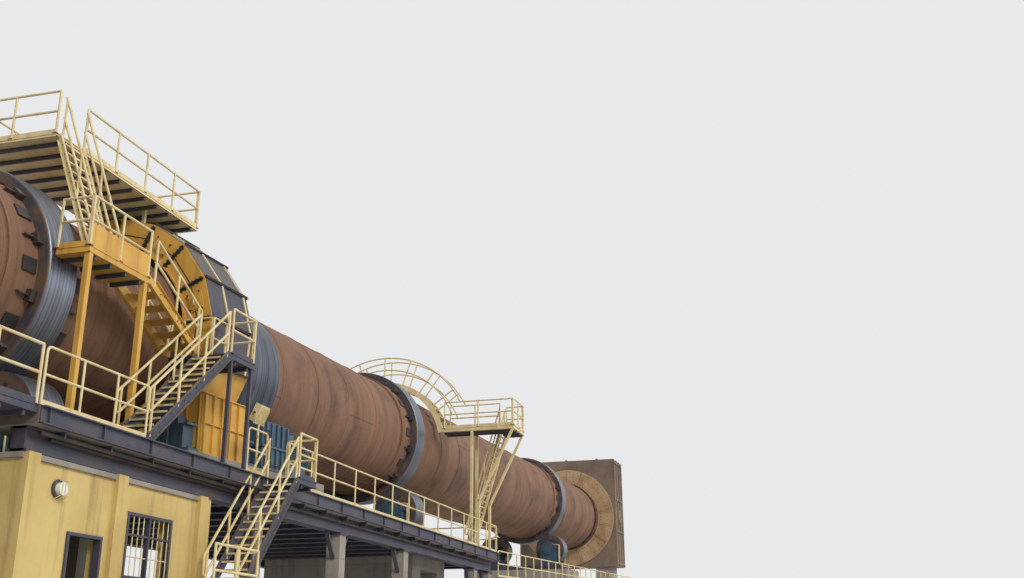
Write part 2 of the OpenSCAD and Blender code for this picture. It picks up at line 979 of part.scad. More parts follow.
module upper_platform() {
    color([0.8, 0.6, 0.2]) {
        block(upper_x0, upper_x1, inner_y, upper_y1, upper_z - frame_h, upper_z);
        for (x = [upper_x0 + 10, upper_x1 - 70])
            block(x, x + 60, inner_y, inner_y + 60, deck_z, upper_z - frame_h);
        translate([upper_x0, inner_y, upper_z])
            rail_run(upper_x1 - upper_x0);
        block(
            upper_x0, upper_x1, inner_y + (rail_bar - panel_t) / 2, inner_y + (rail_bar + panel_t) / 2,
            upper_z, upper_z + panel_h
        );
        translate([upper_x0 + rail_bar, inner_y + rail_bar, upper_z])
            rotate([0, 0, 90])
                rail_run(upper_y1 - inner_y - rail_bar);
    }
}

crown_z = 5780;
crown_t = 40;
crown_x0 = -10400;
crown_x1 = -7400;
crown_y0 = -620;
crown_y1 = 620;
crown_leg_xs = [gear_u - 425, gear_u + 325];
crown_leg_ys = [-400, 360];
ladder_steps = 14;

module crown_ladder() {
    color([0.75, 0.68, 0.45])
        translate([crown_x0 + 40 + stair_w, upper_y1, upper_z])
            rotate([0, 0, 90])
                flight(crown_z - upper_z, crown_y0 - upper_y1, ladder_steps, true);
}

module crown_platform() {
    color([0.75, 0.68, 0.45])
        difference() {
            union() {
                block(crown_x0, crown_x1, crown_y0, crown_y1, crown_z - crown_t, crown_z);
                for (x = crown_leg_xs, y = crown_leg_ys)
                    block(x, x + leg_w, y, y + leg_w, axis_at(gear_u) + 0.9 * guard_r, crown_z - crown_t);
                translate([crown_x0 + stair_w + 80, crown_y0, crown_z])
                    rail_run(crown_x1 - crown_x0 - stair_w - 80);
                translate([crown_x0, crown_y1 - rail_bar, crown_z])
                    rail_run(crown_x1 - crown_x0);
                for (x = [crown_x0 + rail_bar, crown_x1])
                    translate([x, crown_y0 + rail_bar, crown_z])
                        rotate([0, 0, 90])
                            rail_run(crown_y1 - crown_y0 - 2 * rail_bar);
            }
            on_axis(gear_u)
                guard_prism(guard_r, guard_w + 900);
        }
}

// Crossover behind the middle tyre: platforms on both sides and an arched walk over the shell.
crossing_x = 1150;
crossing_w = stair_w;
crossing_z = 4620;
crossing_y = 1330;
crossing_out = deck_half + 700;
crossing_turn = deck_half + 320;
crossing_post_y = -deck_half + 150;
ladder_foot_y = -1720;
crossing_steps = 22;
arch_axis_z = axis_at(crossing_x + crossing_w / 2);
arch_r = shell_r + 130;
arch_h = 110;
arch_deg = 64;
arch_tread_n = 14;
arch_tread_half = 70;

module crossing_side() {
    landing_x1 = crossing_x + 2 * crossing_w + 20;
    under_z = crossing_z - frame_h;
    block(crossing_x, crossing_x + crossing_w, -crossing_out, -crossing_y + 40, under_z, crossing_z);
    block(crossing_x + crossing_w, landing_x1, -crossing_out, -crossing_turn, under_z, crossing_z);
    translate([crossing_x, -crossing_out, crossing_z])
        rail_run(landing_x1 - crossing_x);
    translate([landing_x1, -crossing_out + rail_bar, crossing_z])
        rotate([0, 0, 90])
            rail_run(crossing_out - crossing_turn - rail_bar);
    translate([crossing_x + rail_bar, -crossing_out + rail_bar, crossing_z])
        rotate([0, 0, 90])
            rail_run(crossing_out - crossing_y - rail_bar);
    translate([crossing_x + crossing_w, -crossing_turn, crossing_z])
        rotate([0, 0, 90])
            rail_run(crossing_turn - crossing_y);
    for (x = [crossing_x, crossing_x + crossing_w - 50])
        block(x, x + 50, crossing_post_y, crossing_post_y + 50, deck_z, under_z);
    for (x = [crossing_x, landing_x1 - 50])
        side_brace(x);
}

module side_brace(x) {
    end_plate([
        [-crossing_out + 50, crossing_z - frame_h], [-crossing_out, crossing_z - frame_h],
        [-deck_half, deck_z + 900], [-deck_half + 50, deck_z + 900]
    ], x, x + 50);
}

// One stringer of the arched walk: a band that follows the shell from one platform to the other.
module arch_stringer(x) {
    intersection() {
        translate([x + string_t / 2, 0, arch_axis_z])
            difference() {
                drum(arch_r + arch_h, string_t);
                drum(arch_r, string_t + 2);
            }
        block(x - 1, x + string_t + 1, -2000, 2000, crossing_z - frame_h, arch_axis_z + arch_r + arch_h + 1);
    }
}

arch_rail_rise = 520;
arch_post_count = 6;
arch_post_step = 18;

// A rail of the arched walk, from the platform's own rail over the shell and down again.
module arch_rail(x, r, from_z) {
    intersection() {
        translate([x + rail_bar / 2, 0, arch_axis_z])
            ring(r + rail_bar, r, rail_bar);
        block(x, x + rail_bar, -crossing_out, crossing_out, from_z, arch_axis_z + r + rail_bar + 1);
    }
}

module arch_railing(x) {
    arch_rail(x, arch_r + arch_h + arch_rail_rise, crossing_z + rail_h - rail_bar);
    arch_rail(x, arch_r + arch_h + arch_rail_rise / 2, crossing_z + rail_h / 2);
    for (i = [0 : arch_post_count])
        translate([x + rail_bar / 2, 0, arch_axis_z])
            rotate([arch_post_step * (i - arch_post_count / 2), 0, 0])
                translate([0, 0, arch_r + arch_h - 5])
                    block(-rail_bar / 2 + 1, rail_bar / 2 - 1, -9, 9, 0, arch_rail_rise + rail_bar / 2);
}

// A level tread of the arched walk at an angle from its crown.
module arch_tread(angle) {
    translate([crossing_x, 0, arch_axis_z])
        rotate([angle, 0, 0])
            translate([0, 0, arch_r + arch_h / 2])
                rotate([-angle, 0, 0])
                    block(
                        string_t - 2, crossing_w - string_t + 2, -arch_tread_half, arch_tread_half,
                        -tread_t / 2, tread_t / 2
                    );
}

module crossover() {
    color([0.6, 0.5, 0.3]) {
        for (side = [-1, 1])
            mirror([0, side > 0 ? 1 : 0, 0])
                crossing_side();
        for (x = [crossing_x, crossing_x + crossing_w - string_t])
            arch_stringer(x);
        for (x = [crossing_x, crossing_x + crossing_w - rail_bar])
            arch_railing(x);
        for (i = [0 : arch_tread_n])
            arch_tread(arch_deg * (2 * i / arch_tread_n - 1));
    }
}

module crossover_ladder() {
    color([0.6, 0.5, 0.3])
        translate([crossing_x + crossing_w + 10, ladder_foot_y, deck_z])
            rotate([0, 0, -90])
                flight(crossing_z - deck_z, crossing_turn - fit_gap + ladder_foot_y, crossing_steps, true);
}

// Gallery along the inlet half, parallel to the kiln.
gallery_drop = 2620;
gallery_x0 = column_xs[4] + column_w / 2 + fit_gap;
gallery_x1 = 19600;
gallery_y0 = -2150;
gallery_y1 = -pier_half_y - fit_gap;
gallery_posts_n = 8;
gallery_t = 60;

// Height of the gallery's top, less a thickness, over a point along X.
function gallery_at(x, t) = plane_at(x, gallery_drop) - t;

module gallery() {
    color([0.35, 0.3, 0.26])
        side_plate([
            [gallery_x0, gallery_at(gallery_x0, gallery_t)], [gallery_x1, gallery_at(gallery_x1, gallery_t)],
            [gallery_x1, gallery_at(gallery_x1, 0)], [gallery_x0, gallery_at(gallery_x0, 0)]
        ], gallery_y0, gallery_y1);
}

module gallery_posts() {
    color([0.3, 0.27, 0.25])
        for (i = [0 : gallery_posts_n - 1], y = [gallery_y0 + 20, gallery_y1 - 80])
            let (x = gallery_x0 + 200 + i * (gallery_x1 - gallery_x0 - 460) / (gallery_posts_n - 1))
            side_plate([
                [x, 0], [x + 60, 0],
                [x + 60, gallery_at(x + 60, gallery_t + fit_gap)], [x, gallery_at(x, gallery_t + fit_gap)]
            ], y, y + 60);
}

module gallery_railing() {
    color([0.75, 0.68, 0.45])
        translate([gallery_x0 + 20, gallery_y0 + rail_in, plane_at(gallery_x0 + 20, gallery_drop - fit_gap)])
            rotate([0, -kiln_tilt, 0])
                rail_run((gallery_x1 - gallery_x0 - 60) / cos(kiln_tilt));
}

// A floodlight on a post inside the near railing, aimed at the kiln.
lamp_foot = 60;
lamp_x = stair_gap_x0 - 2 * lamp_foot;
lamp_y = -deck_half + rail_in + rail_bar + lamp_foot + 5;
lamp_post_r = 14;
lamp_post_h = 640;
lamp_foot_t = 8;
lamp_w = 210;
lamp_h = 230;
lamp_deep = 90;
lamp_tilt = 25;
lamp_rim = 14;
yoke_t = 8;
yoke_w = 30;
yoke_h = 150;
yoke_half = lamp_w / 2 + yoke_t;
fin_count = 7;
fin_t = 6;
fin_h = 24;

module lamp_stand() {
    color([0.72, 0.70, 0.62])
        translate([lamp_x, lamp_y, deck_z]) {
            block(-lamp_foot, lamp_foot, -lamp_foot, lamp_foot, 0, lamp_foot_t);
            cylinder(r = lamp_post_r, h = lamp_post_h, $fn = 32);
            translate([0, 0, lamp_post_h]) {
                block(-yoke_half, yoke_half, -yoke_w / 2, yoke_w / 2, 0, yoke_t);
                for (x = [-yoke_half, yoke_half - yoke_t])
                    block(x, x + yoke_t, -yoke_w / 2, yoke_w / 2, 0, yoke_h);
                translate([0, 0, yoke_h - yoke_w / 2])
                    rotate([lamp_tilt, 0, 0])
                        lamp_case();
            }
        }
}

// The lamp's case with its rim and fins, about its hinge line. It shines towards +Y.
module lamp_case() {
    half = lamp_w / 2;
    deep = lamp_deep / 2;
    high = lamp_h / 2;
    difference() {
        union() {
            block(-half - 1, half + 1, -deep, deep, -high + yoke_t, high);
            for (i = [0 : fin_count - 1])
                let (x = -half + 15 + i * (lamp_w - 30 - fin_t) / (fin_count - 1))
                block(x, x + fin_t, -deep - fin_h, -deep, -high + 30, high - 30);
        }
        block(
            -half + lamp_rim, half - lamp_rim, deep - lamp_rim, deep + 1,
            -high + yoke_t + lamp_rim, high - lamp_rim
        );
    }
}

shell_outlet_length();
shell_middle_length();
shell_inlet_length();
tyre_outlet_end();
tyre_middle();
tyre_inlet_end();
tyre_stop_blocks();
girth_gear();
gear_spring_plates();
shell_end_rings();
pinion();
pinion_shaft();
roller_1_near();
roller_1_far();
roller_2_near();
roller_2_far();
roller_3_near();
roller_3_far();
pier_1();
pier_2();
pier_3();
hood_pier();
inlet_pier();
bedplates();
roller_bearings();
gear_guard();
guard_ribs();
pinion_guard();
guard_stools();
drive_plinth();
pinion_bearings();
gearbox();
drive_motor();
deck_slab();
deck_beams();
deck_joists();
deck_columns();
base_wall();
railing_near();
railing_far();
railing_ends();
hood_walkway();
lower_landing();
lower_stair();
middle_stair();
stair_landing();
upper_stair();
upper_platform();
crown_ladder();
crown_platform();
crossover();
crossover_ladder();
gallery();
gallery_posts();
gallery_railing();
lamp_stand();
kiln_hood();
outlet_seal();
inlet_chamber();
inlet_seal();
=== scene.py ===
"""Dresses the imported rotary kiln: finishes for every solid, and the small work that stays out of the CAD.

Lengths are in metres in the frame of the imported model. The kiln axis rises along +X, -Y is the side with
the stairs and the drive, and the ground is at Z = 0.
"""

import json
import logging
import math
from dataclasses import dataclass, field
from enum import Enum
from itertools import product

import bpy
from mathutils import Matrix, Vector

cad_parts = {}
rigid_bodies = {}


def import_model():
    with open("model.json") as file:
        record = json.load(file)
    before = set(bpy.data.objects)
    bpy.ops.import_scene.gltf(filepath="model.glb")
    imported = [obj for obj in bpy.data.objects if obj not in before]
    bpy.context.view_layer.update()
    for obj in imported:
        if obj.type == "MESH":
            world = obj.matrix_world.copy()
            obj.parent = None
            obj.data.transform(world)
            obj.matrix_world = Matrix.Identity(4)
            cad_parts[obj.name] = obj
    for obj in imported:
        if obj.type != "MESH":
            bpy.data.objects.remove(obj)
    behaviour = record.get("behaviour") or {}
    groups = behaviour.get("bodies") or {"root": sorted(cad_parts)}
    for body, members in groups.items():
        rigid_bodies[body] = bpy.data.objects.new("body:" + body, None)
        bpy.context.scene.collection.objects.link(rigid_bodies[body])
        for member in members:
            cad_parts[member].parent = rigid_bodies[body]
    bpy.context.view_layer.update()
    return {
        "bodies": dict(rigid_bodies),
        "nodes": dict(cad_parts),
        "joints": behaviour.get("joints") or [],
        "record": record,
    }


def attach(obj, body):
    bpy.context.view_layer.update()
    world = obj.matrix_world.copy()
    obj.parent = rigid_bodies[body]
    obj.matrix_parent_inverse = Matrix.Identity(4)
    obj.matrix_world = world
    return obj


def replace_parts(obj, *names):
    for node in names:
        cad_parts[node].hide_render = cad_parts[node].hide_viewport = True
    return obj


LOG = logging.getLogger("rotary_kiln")
TILT = math.radians(2.0)
AXIS_Z = 4.28
KILN_FRAME = Matrix.Translation((0.0, 0.0, AXIS_Z)) @ Matrix.Rotation(-TILT, 4, "Y")
UP = Vector((0.0, 0.0, 1.0))
KILN_UP = KILN_FRAME.to_3x3() @ UP
SIDES = (-1.0, 1.0)
SHARP_FROM = math.radians(35.0)
BLACK = (0.0, 0.0, 0.0)
Pair = tuple[float, float]  # two sizes, places or bounds
Trio = tuple[float, float, float]  # a colour, a place or a size
Bar = tuple[Vector, Vector, Vector]  # the centre, the size and the turn as Euler angles
Head = tuple[Vector, Vector]  # the centre and the way it faces
Line = list[Vector]
Socket = bpy.types.NodeSocket


def tone(*screen: int) -> Trio:
    """Turns a screen colour of 0 to 255 into linear light."""
    shares = (value / 255.0 for value in screen)
    return tuple(s / 12.92 if s <= 0.04045 else ((s + 0.055) / 1.055) ** 2.4 for s in shares)


def spread(low: float, high: float, count: int) -> list[float]:
    """Gives evenly spaced values from low to high, both ends included."""
    return [low + i * (high - low) / (count - 1) for i in range(count)]


def spokes(count: int, first: float = 0.0) -> list[float]:
    """Gives evenly spaced angles of a full turn, in degrees."""
    return [first + i * 360.0 / count for i in range(count)]


def on_axis(u: float, y: float = 0.0, z: float = 0.0) -> Vector:
    """Gives the place of a point stated along and square to the kiln axis."""
    return KILN_FRAME @ Vector((u, y, z))


def around(u: float, radius: float, degrees: float) -> Vector:
    """Gives a point on a circle about the kiln axis, with 0 degrees on top and 90 on the near side."""
    angle = math.radians(degrees)
    return on_axis(u, -radius * math.sin(angle), radius * math.cos(angle))


def spin(degrees: float) -> Matrix:
    """Gives the turn of a thing that stands on a circle about the kiln axis, with its Z facing outward."""
    return KILN_FRAME.to_3x3() @ Matrix.Rotation(math.radians(degrees), 3, "X")


def axis_way(side: float = 1.0) -> Vector:
    """Gives the way along the kiln axis."""
    return KILN_FRAME.to_3x3() @ Vector((side, 0.0, 0.0))


def round_bar(u: float, radius: float, degrees: float, size: Trio) -> Bar:
    """Gives a bar that stands on a circle about the kiln axis, its size along, round and outward."""
    return around(u, radius, degrees), Vector(size), Vector(spin(degrees).to_euler())


def round_head(u: float, radius: float, degrees: float) -> Head:
    """Gives a head that faces outward from the kiln axis."""
    return around(u, radius, degrees), spin(degrees) @ UP


def kiln_bar(u: float, y: float, z: float, *size: float) -> Bar:
    """Gives a bar that lies square to the kiln axis."""
    return on_axis(u, y, z), Vector(size), Vector(KILN_FRAME.to_euler())


def plain_bar(x: float, y: float, z: float, *size: float) -> Bar:
    """Gives an upright bar in the frame's own axes."""
    return Vector((x, y, z)), Vector(size), Vector(BLACK)


def bar_between(start: Vector, end: Vector, wide: float, high: float) -> Bar:
    """Gives a bar from one point to another.

    Args:
        start: the middle of its first end.
        end: the middle of its other end.
        wide: its level width.
        high: its other width.

    Returns:
        The bar.
    """
    along = (end - start).normalized()
    side = UP.cross(along)
    side = side.normalized() if side.length > 1e-6 else Vector((0.0, 1.0, 0.0))
    turn = Matrix((along, side, along.cross(side))).transposed().to_euler()
    return (start + end) / 2.0, Vector(((end - start).length, wide, high)), Vector(turn)


def bolt_circle(u: float, y: float, z: float, radius: float, count: int, way: float) -> list[Head]:
    """Gives heads on a circle square to the kiln axis, all facing one way along it."""
    angles = [math.radians(a) for a in spokes(count)]
    return [(on_axis(u, y + radius * math.cos(a), z + radius * math.sin(a)), axis_way(way)) for a in angles]


class Body(Enum):
    """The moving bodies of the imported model."""

    PLANT = "plant"
    KILN = "kiln"
    PINION = "pinion_set"


class Flow:
    """A value in a shader tree that takes Python's operators."""

    def __init__(self, graph: "Graph", socket: Socket) -> None:
        """Wraps one output socket of a graph."""
        self.graph = graph
        self.socket = socket

    def math(self, operation: str, *others: "Flow | float") -> "Flow":
        """Adds a Math node that starts with this value."""
        return self.graph.math(operation, self, *others)

    def __add__(self, other: "Flow | float") -> "Flow":
        """Adds."""
        return self.math("ADD", other)

    def __sub__(self, other: "Flow | float") -> "Flow":
        """Subtracts."""
        return self.math("SUBTRACT", other)

    def __rsub__(self, other: float) -> "Flow":
        """Subtracts from a number."""
        return self.graph.math("SUBTRACT", other, self)

    def __mul__(self, other: "Flow | float") -> "Flow":
        """Multiplies."""
        return self.math("MULTIPLY", other)

    def __truediv__(self, other: "Flow | float") -> "Flow":
        """Divides."""
        return self.math("DIVIDE", other)

    __radd__, __rmul__ = __add__, __mul__

    def edge(self, start: float, end: float) -> "Flow":
        """Goes smoothly from 0 to 1.

        Args:
            start: where it leaves 0.
            end: where it reaches 1.

        Returns:
            The smooth step.
        """
        return self.graph.node(
            "ShaderNodeMapRange", {"interpolation_type": "SMOOTHSTEP"},
            Value=self, **{"From Min": start, "From Max": end})


class Graph:
    """A node tree of a material or a world, built from Python expressions."""

    def __init__(self, name: str, owner: bpy.types.ID | None = None) -> None:
        """Starts an empty tree.

        Args:
            name: the name of the new material.
            owner: what holds the tree instead of a new material.
        """
        self.owner = owner or bpy.data.materials.new(name)
        self.owner.use_nodes = True
        self.tree = self.owner.node_tree
        self.tree.nodes.clear()

    def node(self, kind: str, settings: dict[str, object] | None = None, out: str | int = 0,
             **sockets: object) -> Flow:
        """Adds one node.

        Args:
            kind: the node's type.
            settings: properties that are set before the sockets.
            out: the wanted output, by number, name or identifier.
            sockets: values or flows for its inputs.

        Returns:
            The wanted output.
        """
        node = self.tree.nodes.new(kind)
        for key, value in (settings or {}).items():
            setattr(node, key, value)
        for key, value in sockets.items():
            self.set_input(node, key, value)
        if isinstance(out, int):
            return Flow(self, node.outputs[out])
        return Flow(self, next(s for s in node.outputs if out in (s.identifier, s.name)))

    def set_input(self, node: bpy.types.Node, key: str, value: object) -> None:
        """Links a flow to a socket, or sets the socket's own value.

        Args:
            node: the node.
            key: the socket's identifier or name.
            value: a flow, a number, a colour or a vector.
        """
        socket = next((s for s in node.inputs if s.identifier == key), None) or node.inputs[key]
        if isinstance(value, Flow):
            self.tree.links.new(value.socket, socket)
        elif isinstance(value, tuple) and len(value) == 3 and socket.type == "RGBA":
            socket.default_value = (*value, 1.0)
        else:
            socket.default_value = value

    def math(self, operation: str, *values: Flow | float) -> Flow:
        """Adds a Math node on flows and numbers."""
        keys = ("Value", "Value_001", "Value_002")
        return self.node("ShaderNodeMath", {"operation": operation}, **dict(zip(keys, values)))

    def mix(self, share: Flow | float, first: Flow | Trio, second: Flow | Trio) -> Flow:
        """Mixes two colours.

        Args:
            share: how much of the second one shows.
            first: a colour.
            second: another colour.

        Returns:
            The mixed colour.
        """
        return self.node(
            "ShaderNodeMix", {"data_type": "RGBA"}, "Result_Color",
            Factor_Float=share, A_Color=first, B_Color=second)

    def own(self, output: str = "Object") -> Flow:
        """Gives the piece's own coordinates or normals."""
        return self.node("ShaderNodeTexCoord", {}, output)

    def place(self, *scale: float, turned: bool = False) -> Flow:
        """Gives the piece's own coordinates.

        Args:
            scale: a factor for each axis, or nothing.
            turned: whether they are turned into the kiln's frame, with X along its axis.

        Returns:
            The coordinates.
        """
        flow = self.own()
        if turned:
            origin = (-AXIS_Z * math.sin(TILT), 0.0, -AXIS_Z * math.cos(TILT))
            flow = self.node("ShaderNodeMapping", Vector=flow, Location=origin, Rotation=(0.0, TILT, 0.0))
        return self.node("ShaderNodeMapping", Vector=flow, Scale=scale or (1.0, 1.0, 1.0))

    def parts(self, flow: Flow) -> tuple[Flow, ...]:
        """Splits a vector into its three numbers."""
        first = self.node("ShaderNodeSeparateXYZ", Vector=flow)
        return tuple(Flow(self, socket) for socket in first.socket.node.outputs)

    def reach(self, first: Flow, second: Flow) -> Flow:
        """Gives the distance of a point stated by two numbers."""
        return (first * first + second * second).math("SQRT")

    def noise(self, where: Flow, scale: float, detail: float = 3.0, rough: float = 0.55) -> Flow:
        """Adds a noise pattern of about 0 to 1."""
        return self.node("ShaderNodeTexNoise", {}, "Fac", Vector=where, Scale=scale, Detail=detail,
                         Roughness=rough)

    def close(self, base: Flow | Trio, rough: Flow | float, metal: Flow | float, height: Flow | None = None,
              bump: float = 0.0, **sockets: object) -> bpy.types.Material:
        """Ends the tree in one shader.

        Args:
            base: the base colour.
            rough: the roughness.
            metal: the metallic share.
            height: the relief that the bump follows.
            bump: the depth of the relief in metres.
            sockets: further inputs of the shader, with a low line for each blank.

        Returns:
            The finished material.
        """
        inputs = {"Base Color": base, "Roughness": rough, "Metallic": metal}
        if height is not None:
            inputs["Normal"] = self.node("ShaderNodeBump", {}, "Normal", Height=height, Distance=bump,
                                         Strength=0.7)
        inputs |= {key.replace("_", " "): value for key, value in sockets.items()}
        self.end("ShaderNodeOutputMaterial", self.node("ShaderNodeBsdfPrincipled", **inputs))
        return self.owner

    def end(self, kind: str, shader: Flow) -> None:
        """Adds the output node and links the shader to it."""
        self.set_input(self.tree.nodes.new(kind), "Surface", shader)


@dataclass(frozen=True)
class Weathered:
    """Paint, plate or concrete that has stood in dust and rain."""

    name: str
    tone_a: Trio
    tone_b: Trio
    grime: Trio
    rust: Trio = tone(92, 48, 26)
    dust: Trio = tone(176, 158, 132)
    rust_from: float = 0.66
    streaks: float = 0.5
    dusting: float = 0.5
    grain: float = 3.0
    rough: Pair = (0.5, 0.75)
    metal: float = 0.0
    bump: float = 0.002

    def build(self) -> bpy.types.Material:
        """Builds the material.

        Returns:
            The material.
        """
        g = Graph(self.name)
        here = g.place()
        broad = g.noise(here, self.grain, 4.0)
        fine = g.noise(here, self.grain * 14.0, 4.0, 0.6)
        run = g.noise(g.place(7.0, 7.0, 0.45), 1.6, 5.0, 0.6)
        base = g.mix(broad.edge(0.35, 0.68), self.tone_a, self.tone_b)
        base = g.mix(run.edge(0.5, 0.78) * self.streaks, base, self.grime)
        patch = (broad * 0.45 + fine * 0.55).edge(self.rust_from - 0.03, self.rust_from + 0.05)
        base = g.mix(patch, base, self.rust)
        settled = g.parts(g.own("Normal"))[2].edge(0.35, 0.95) * fine.edge(0.25, 0.6) * self.dusting
        base = g.mix(settled, base, self.dust)
        low, high = self.rough
        rough = (fine * (high - low) + low + patch * 0.15 + settled * 0.2).math("MINIMUM", 0.95)
        metal = (1.0 - patch) * (1.0 - settled) * self.metal if self.metal else 0.0
        return g.close(base, rough, metal, fine * 0.6 + broad * 0.3 - patch * 0.5, self.bump)


@dataclass(frozen=True)
class KilnPlate:
    """The rusted shell plate, with bands round the drum, and the band beside the guard: unpainted steel whose
    dark blue tone is painted shade from the guard.
    """

    name: str = "kiln_plate_rusted"
    band: Pair = (-6.625, -5.675)
    band_radius: Pair = (1.104, 1.108)

    def build(self) -> bpy.types.Material:
        """Builds the material.

        Returns:
            The material.
        """
        g = Graph(self.name)
        kiln = g.place(turned=True)
        along, side, up = g.parts(kiln)
        hoops = g.noise(g.place(2.6, 0.16, 0.16, turned=True), 2.2, 5.0, 0.62)
        thin = g.noise(g.place(26.0, 0.3, 0.3, turned=True), 1.0, 3.0, 0.6)
        cloud = g.noise(kiln, 1.3, 5.0, 0.6)
        fine = g.noise(kiln, 26.0, 4.0, 0.6)
        base = g.mix(hoops.edge(0.25, 0.75), tone(114, 82, 64), tone(138, 103, 78))
        base = g.mix(cloud.edge(0.46, 0.72) * 0.75, base, tone(78, 58, 52))
        base = g.mix(thin.edge(0.5, 0.8) * 0.25, base, tone(168, 130, 96))
        base = g.mix(fine.edge(0.6, 0.75) * 0.5, base, tone(70, 42, 32))
        scale = (cloud * 0.5 + fine * 0.5).edge(0.52, 0.6)
        # Mask of the band beside the guard: unpainted steel that also carries painted shade from the guard.
        start, end = (along.edge(u - 0.01, u + 0.01) for u in self.band)
        bare_shaded_band = start * (1.0 - end) * g.reach(side, up).edge(*self.band_radius)
        # The band's dark blue-grey is painted shade from the guard; its lower roughness and higher metallic
        # share are the unpainted steel itself.
        steel = g.mix(thin.edge(0.35, 0.65), tone(58, 62, 74), tone(94, 98, 110))
        steel = g.mix(cloud.edge(0.55, 0.7) * 0.5, steel, tone(96, 70, 58))
        rough = (0.7 + fine * 0.22) * (1.0 - bare_shaded_band * 0.55)
        height = hoops * 0.2 + fine * 0.5 - scale * 0.4
        return g.close(g.mix(bare_shaded_band, base, steel), rough, 0.12 + bare_shaded_band * 0.7, height, 0.004)


@dataclass(frozen=True)
class RolledSteel:
    """A ring or roller whose tread is rolled bright while its sides hold dust and scale."""

    name: str
    tread: float
    centre: Trio = BLACK

    def build(self) -> bpy.types.Material:
        """Builds the material.

        Returns:
            The material.
        """
        g = Graph(self.name)
        kiln = g.place(turned=True)
        middle = tuple(-c for c in self.centre)
        along, side, up = g.parts(g.node("ShaderNodeMapping", Vector=kiln, Location=middle))
        radius = g.reach(side, up)
        tread = radius.edge(self.tread - 0.012, self.tread - 0.003)
        rings = g.noise(g.node("ShaderNodeCombineXYZ", X=along * 40.0, Y=radius * 30.0), 1.0, 4.0, 0.65)
        cloud = g.noise(kiln, 3.0, 5.0, 0.6)
        fine = g.noise(kiln, 40.0, 3.0, 0.6)
        bright = g.mix(rings.edge(0.35, 0.65), tone(94, 98, 110), tone(134, 138, 147))
        cheek = g.mix(cloud.edge(0.4, 0.62), tone(68, 68, 80), tone(106, 86, 70))
        cheek = g.mix(rings.edge(0.5, 0.7) * 0.45, cheek, tone(136, 112, 84))
        rough = 0.68 + fine * 0.15 - tread * 0.36
        height = rings * 0.5 + fine * 0.5
        return g.close(g.mix(tread, cheek, bright), rough, 0.35 + tread * 0.5, height, 0.0015)


@dataclass(frozen=True)
class Masonry:
    """Concrete or plaster, with the joints of its boards and the runs below its edges."""

    name: str
    tone_a: Trio
    tone_b: Trio
    stain: Trio
    foot: Trio = tone(74, 62, 52)
    board: float = 0.3
    joint: float = 0.5
    bump: float = 0.004

    def build(self) -> bpy.types.Material:
        """Builds the material.

        Returns:
            The material.
        """
        g = Graph(self.name)
        here = g.place()
        up = g.parts(here)[2]
        broad = g.noise(here, 1.1, 5.0, 0.62)
        fine = g.noise(here, 22.0, 4.0, 0.6)
        pits = g.node("ShaderNodeTexVoronoi", {"feature": "F1"}, "Distance", Vector=here, Scale=34.0)
        run = g.noise(g.place(5.0, 5.0, 0.3), 1.4, 5.0, 0.6)
        joint = (1.0 - (up / self.board).math("FRACT").edge(0.0, 0.05)) * self.joint
        base = g.mix(broad.edge(0.32, 0.7), self.tone_a, self.tone_b)
        base = g.mix(run.edge(0.5, 0.75) * 0.6, base, self.stain)
        base = g.mix(fine.edge(0.55, 0.75) * 0.35, base, self.tone_a)
        base = g.mix(joint, base, self.stain)
        base = g.mix((1.0 - up.edge(0.0, 0.5)) * 0.45, base, self.foot)
        height = fine * 0.5 + broad * 0.3 - joint * 0.5 - (1.0 - pits.edge(0.1, 0.35)) * 0.3
        return g.close(base, 0.82 + fine * 0.12, 0.0, height, self.bump)


@dataclass(frozen=True)
class Glass:
    """A lamp's pale glass."""

    name: str = "lamp_glass"

    def build(self) -> bpy.types.Material:
        """Builds the material.

        Returns:
            The material.
        """
        g = Graph(self.name)
        ribs = g.noise(g.place(60.0, 60.0, 4.0), 1.0, 2.0)
        base = g.mix(ribs.edge(0.4, 0.6), tone(206, 214, 206), tone(236, 238, 228))
        return g.close(base, 0.18 + ribs * 0.1, 0.0, ribs, 0.001, Coat_Weight=0.4)


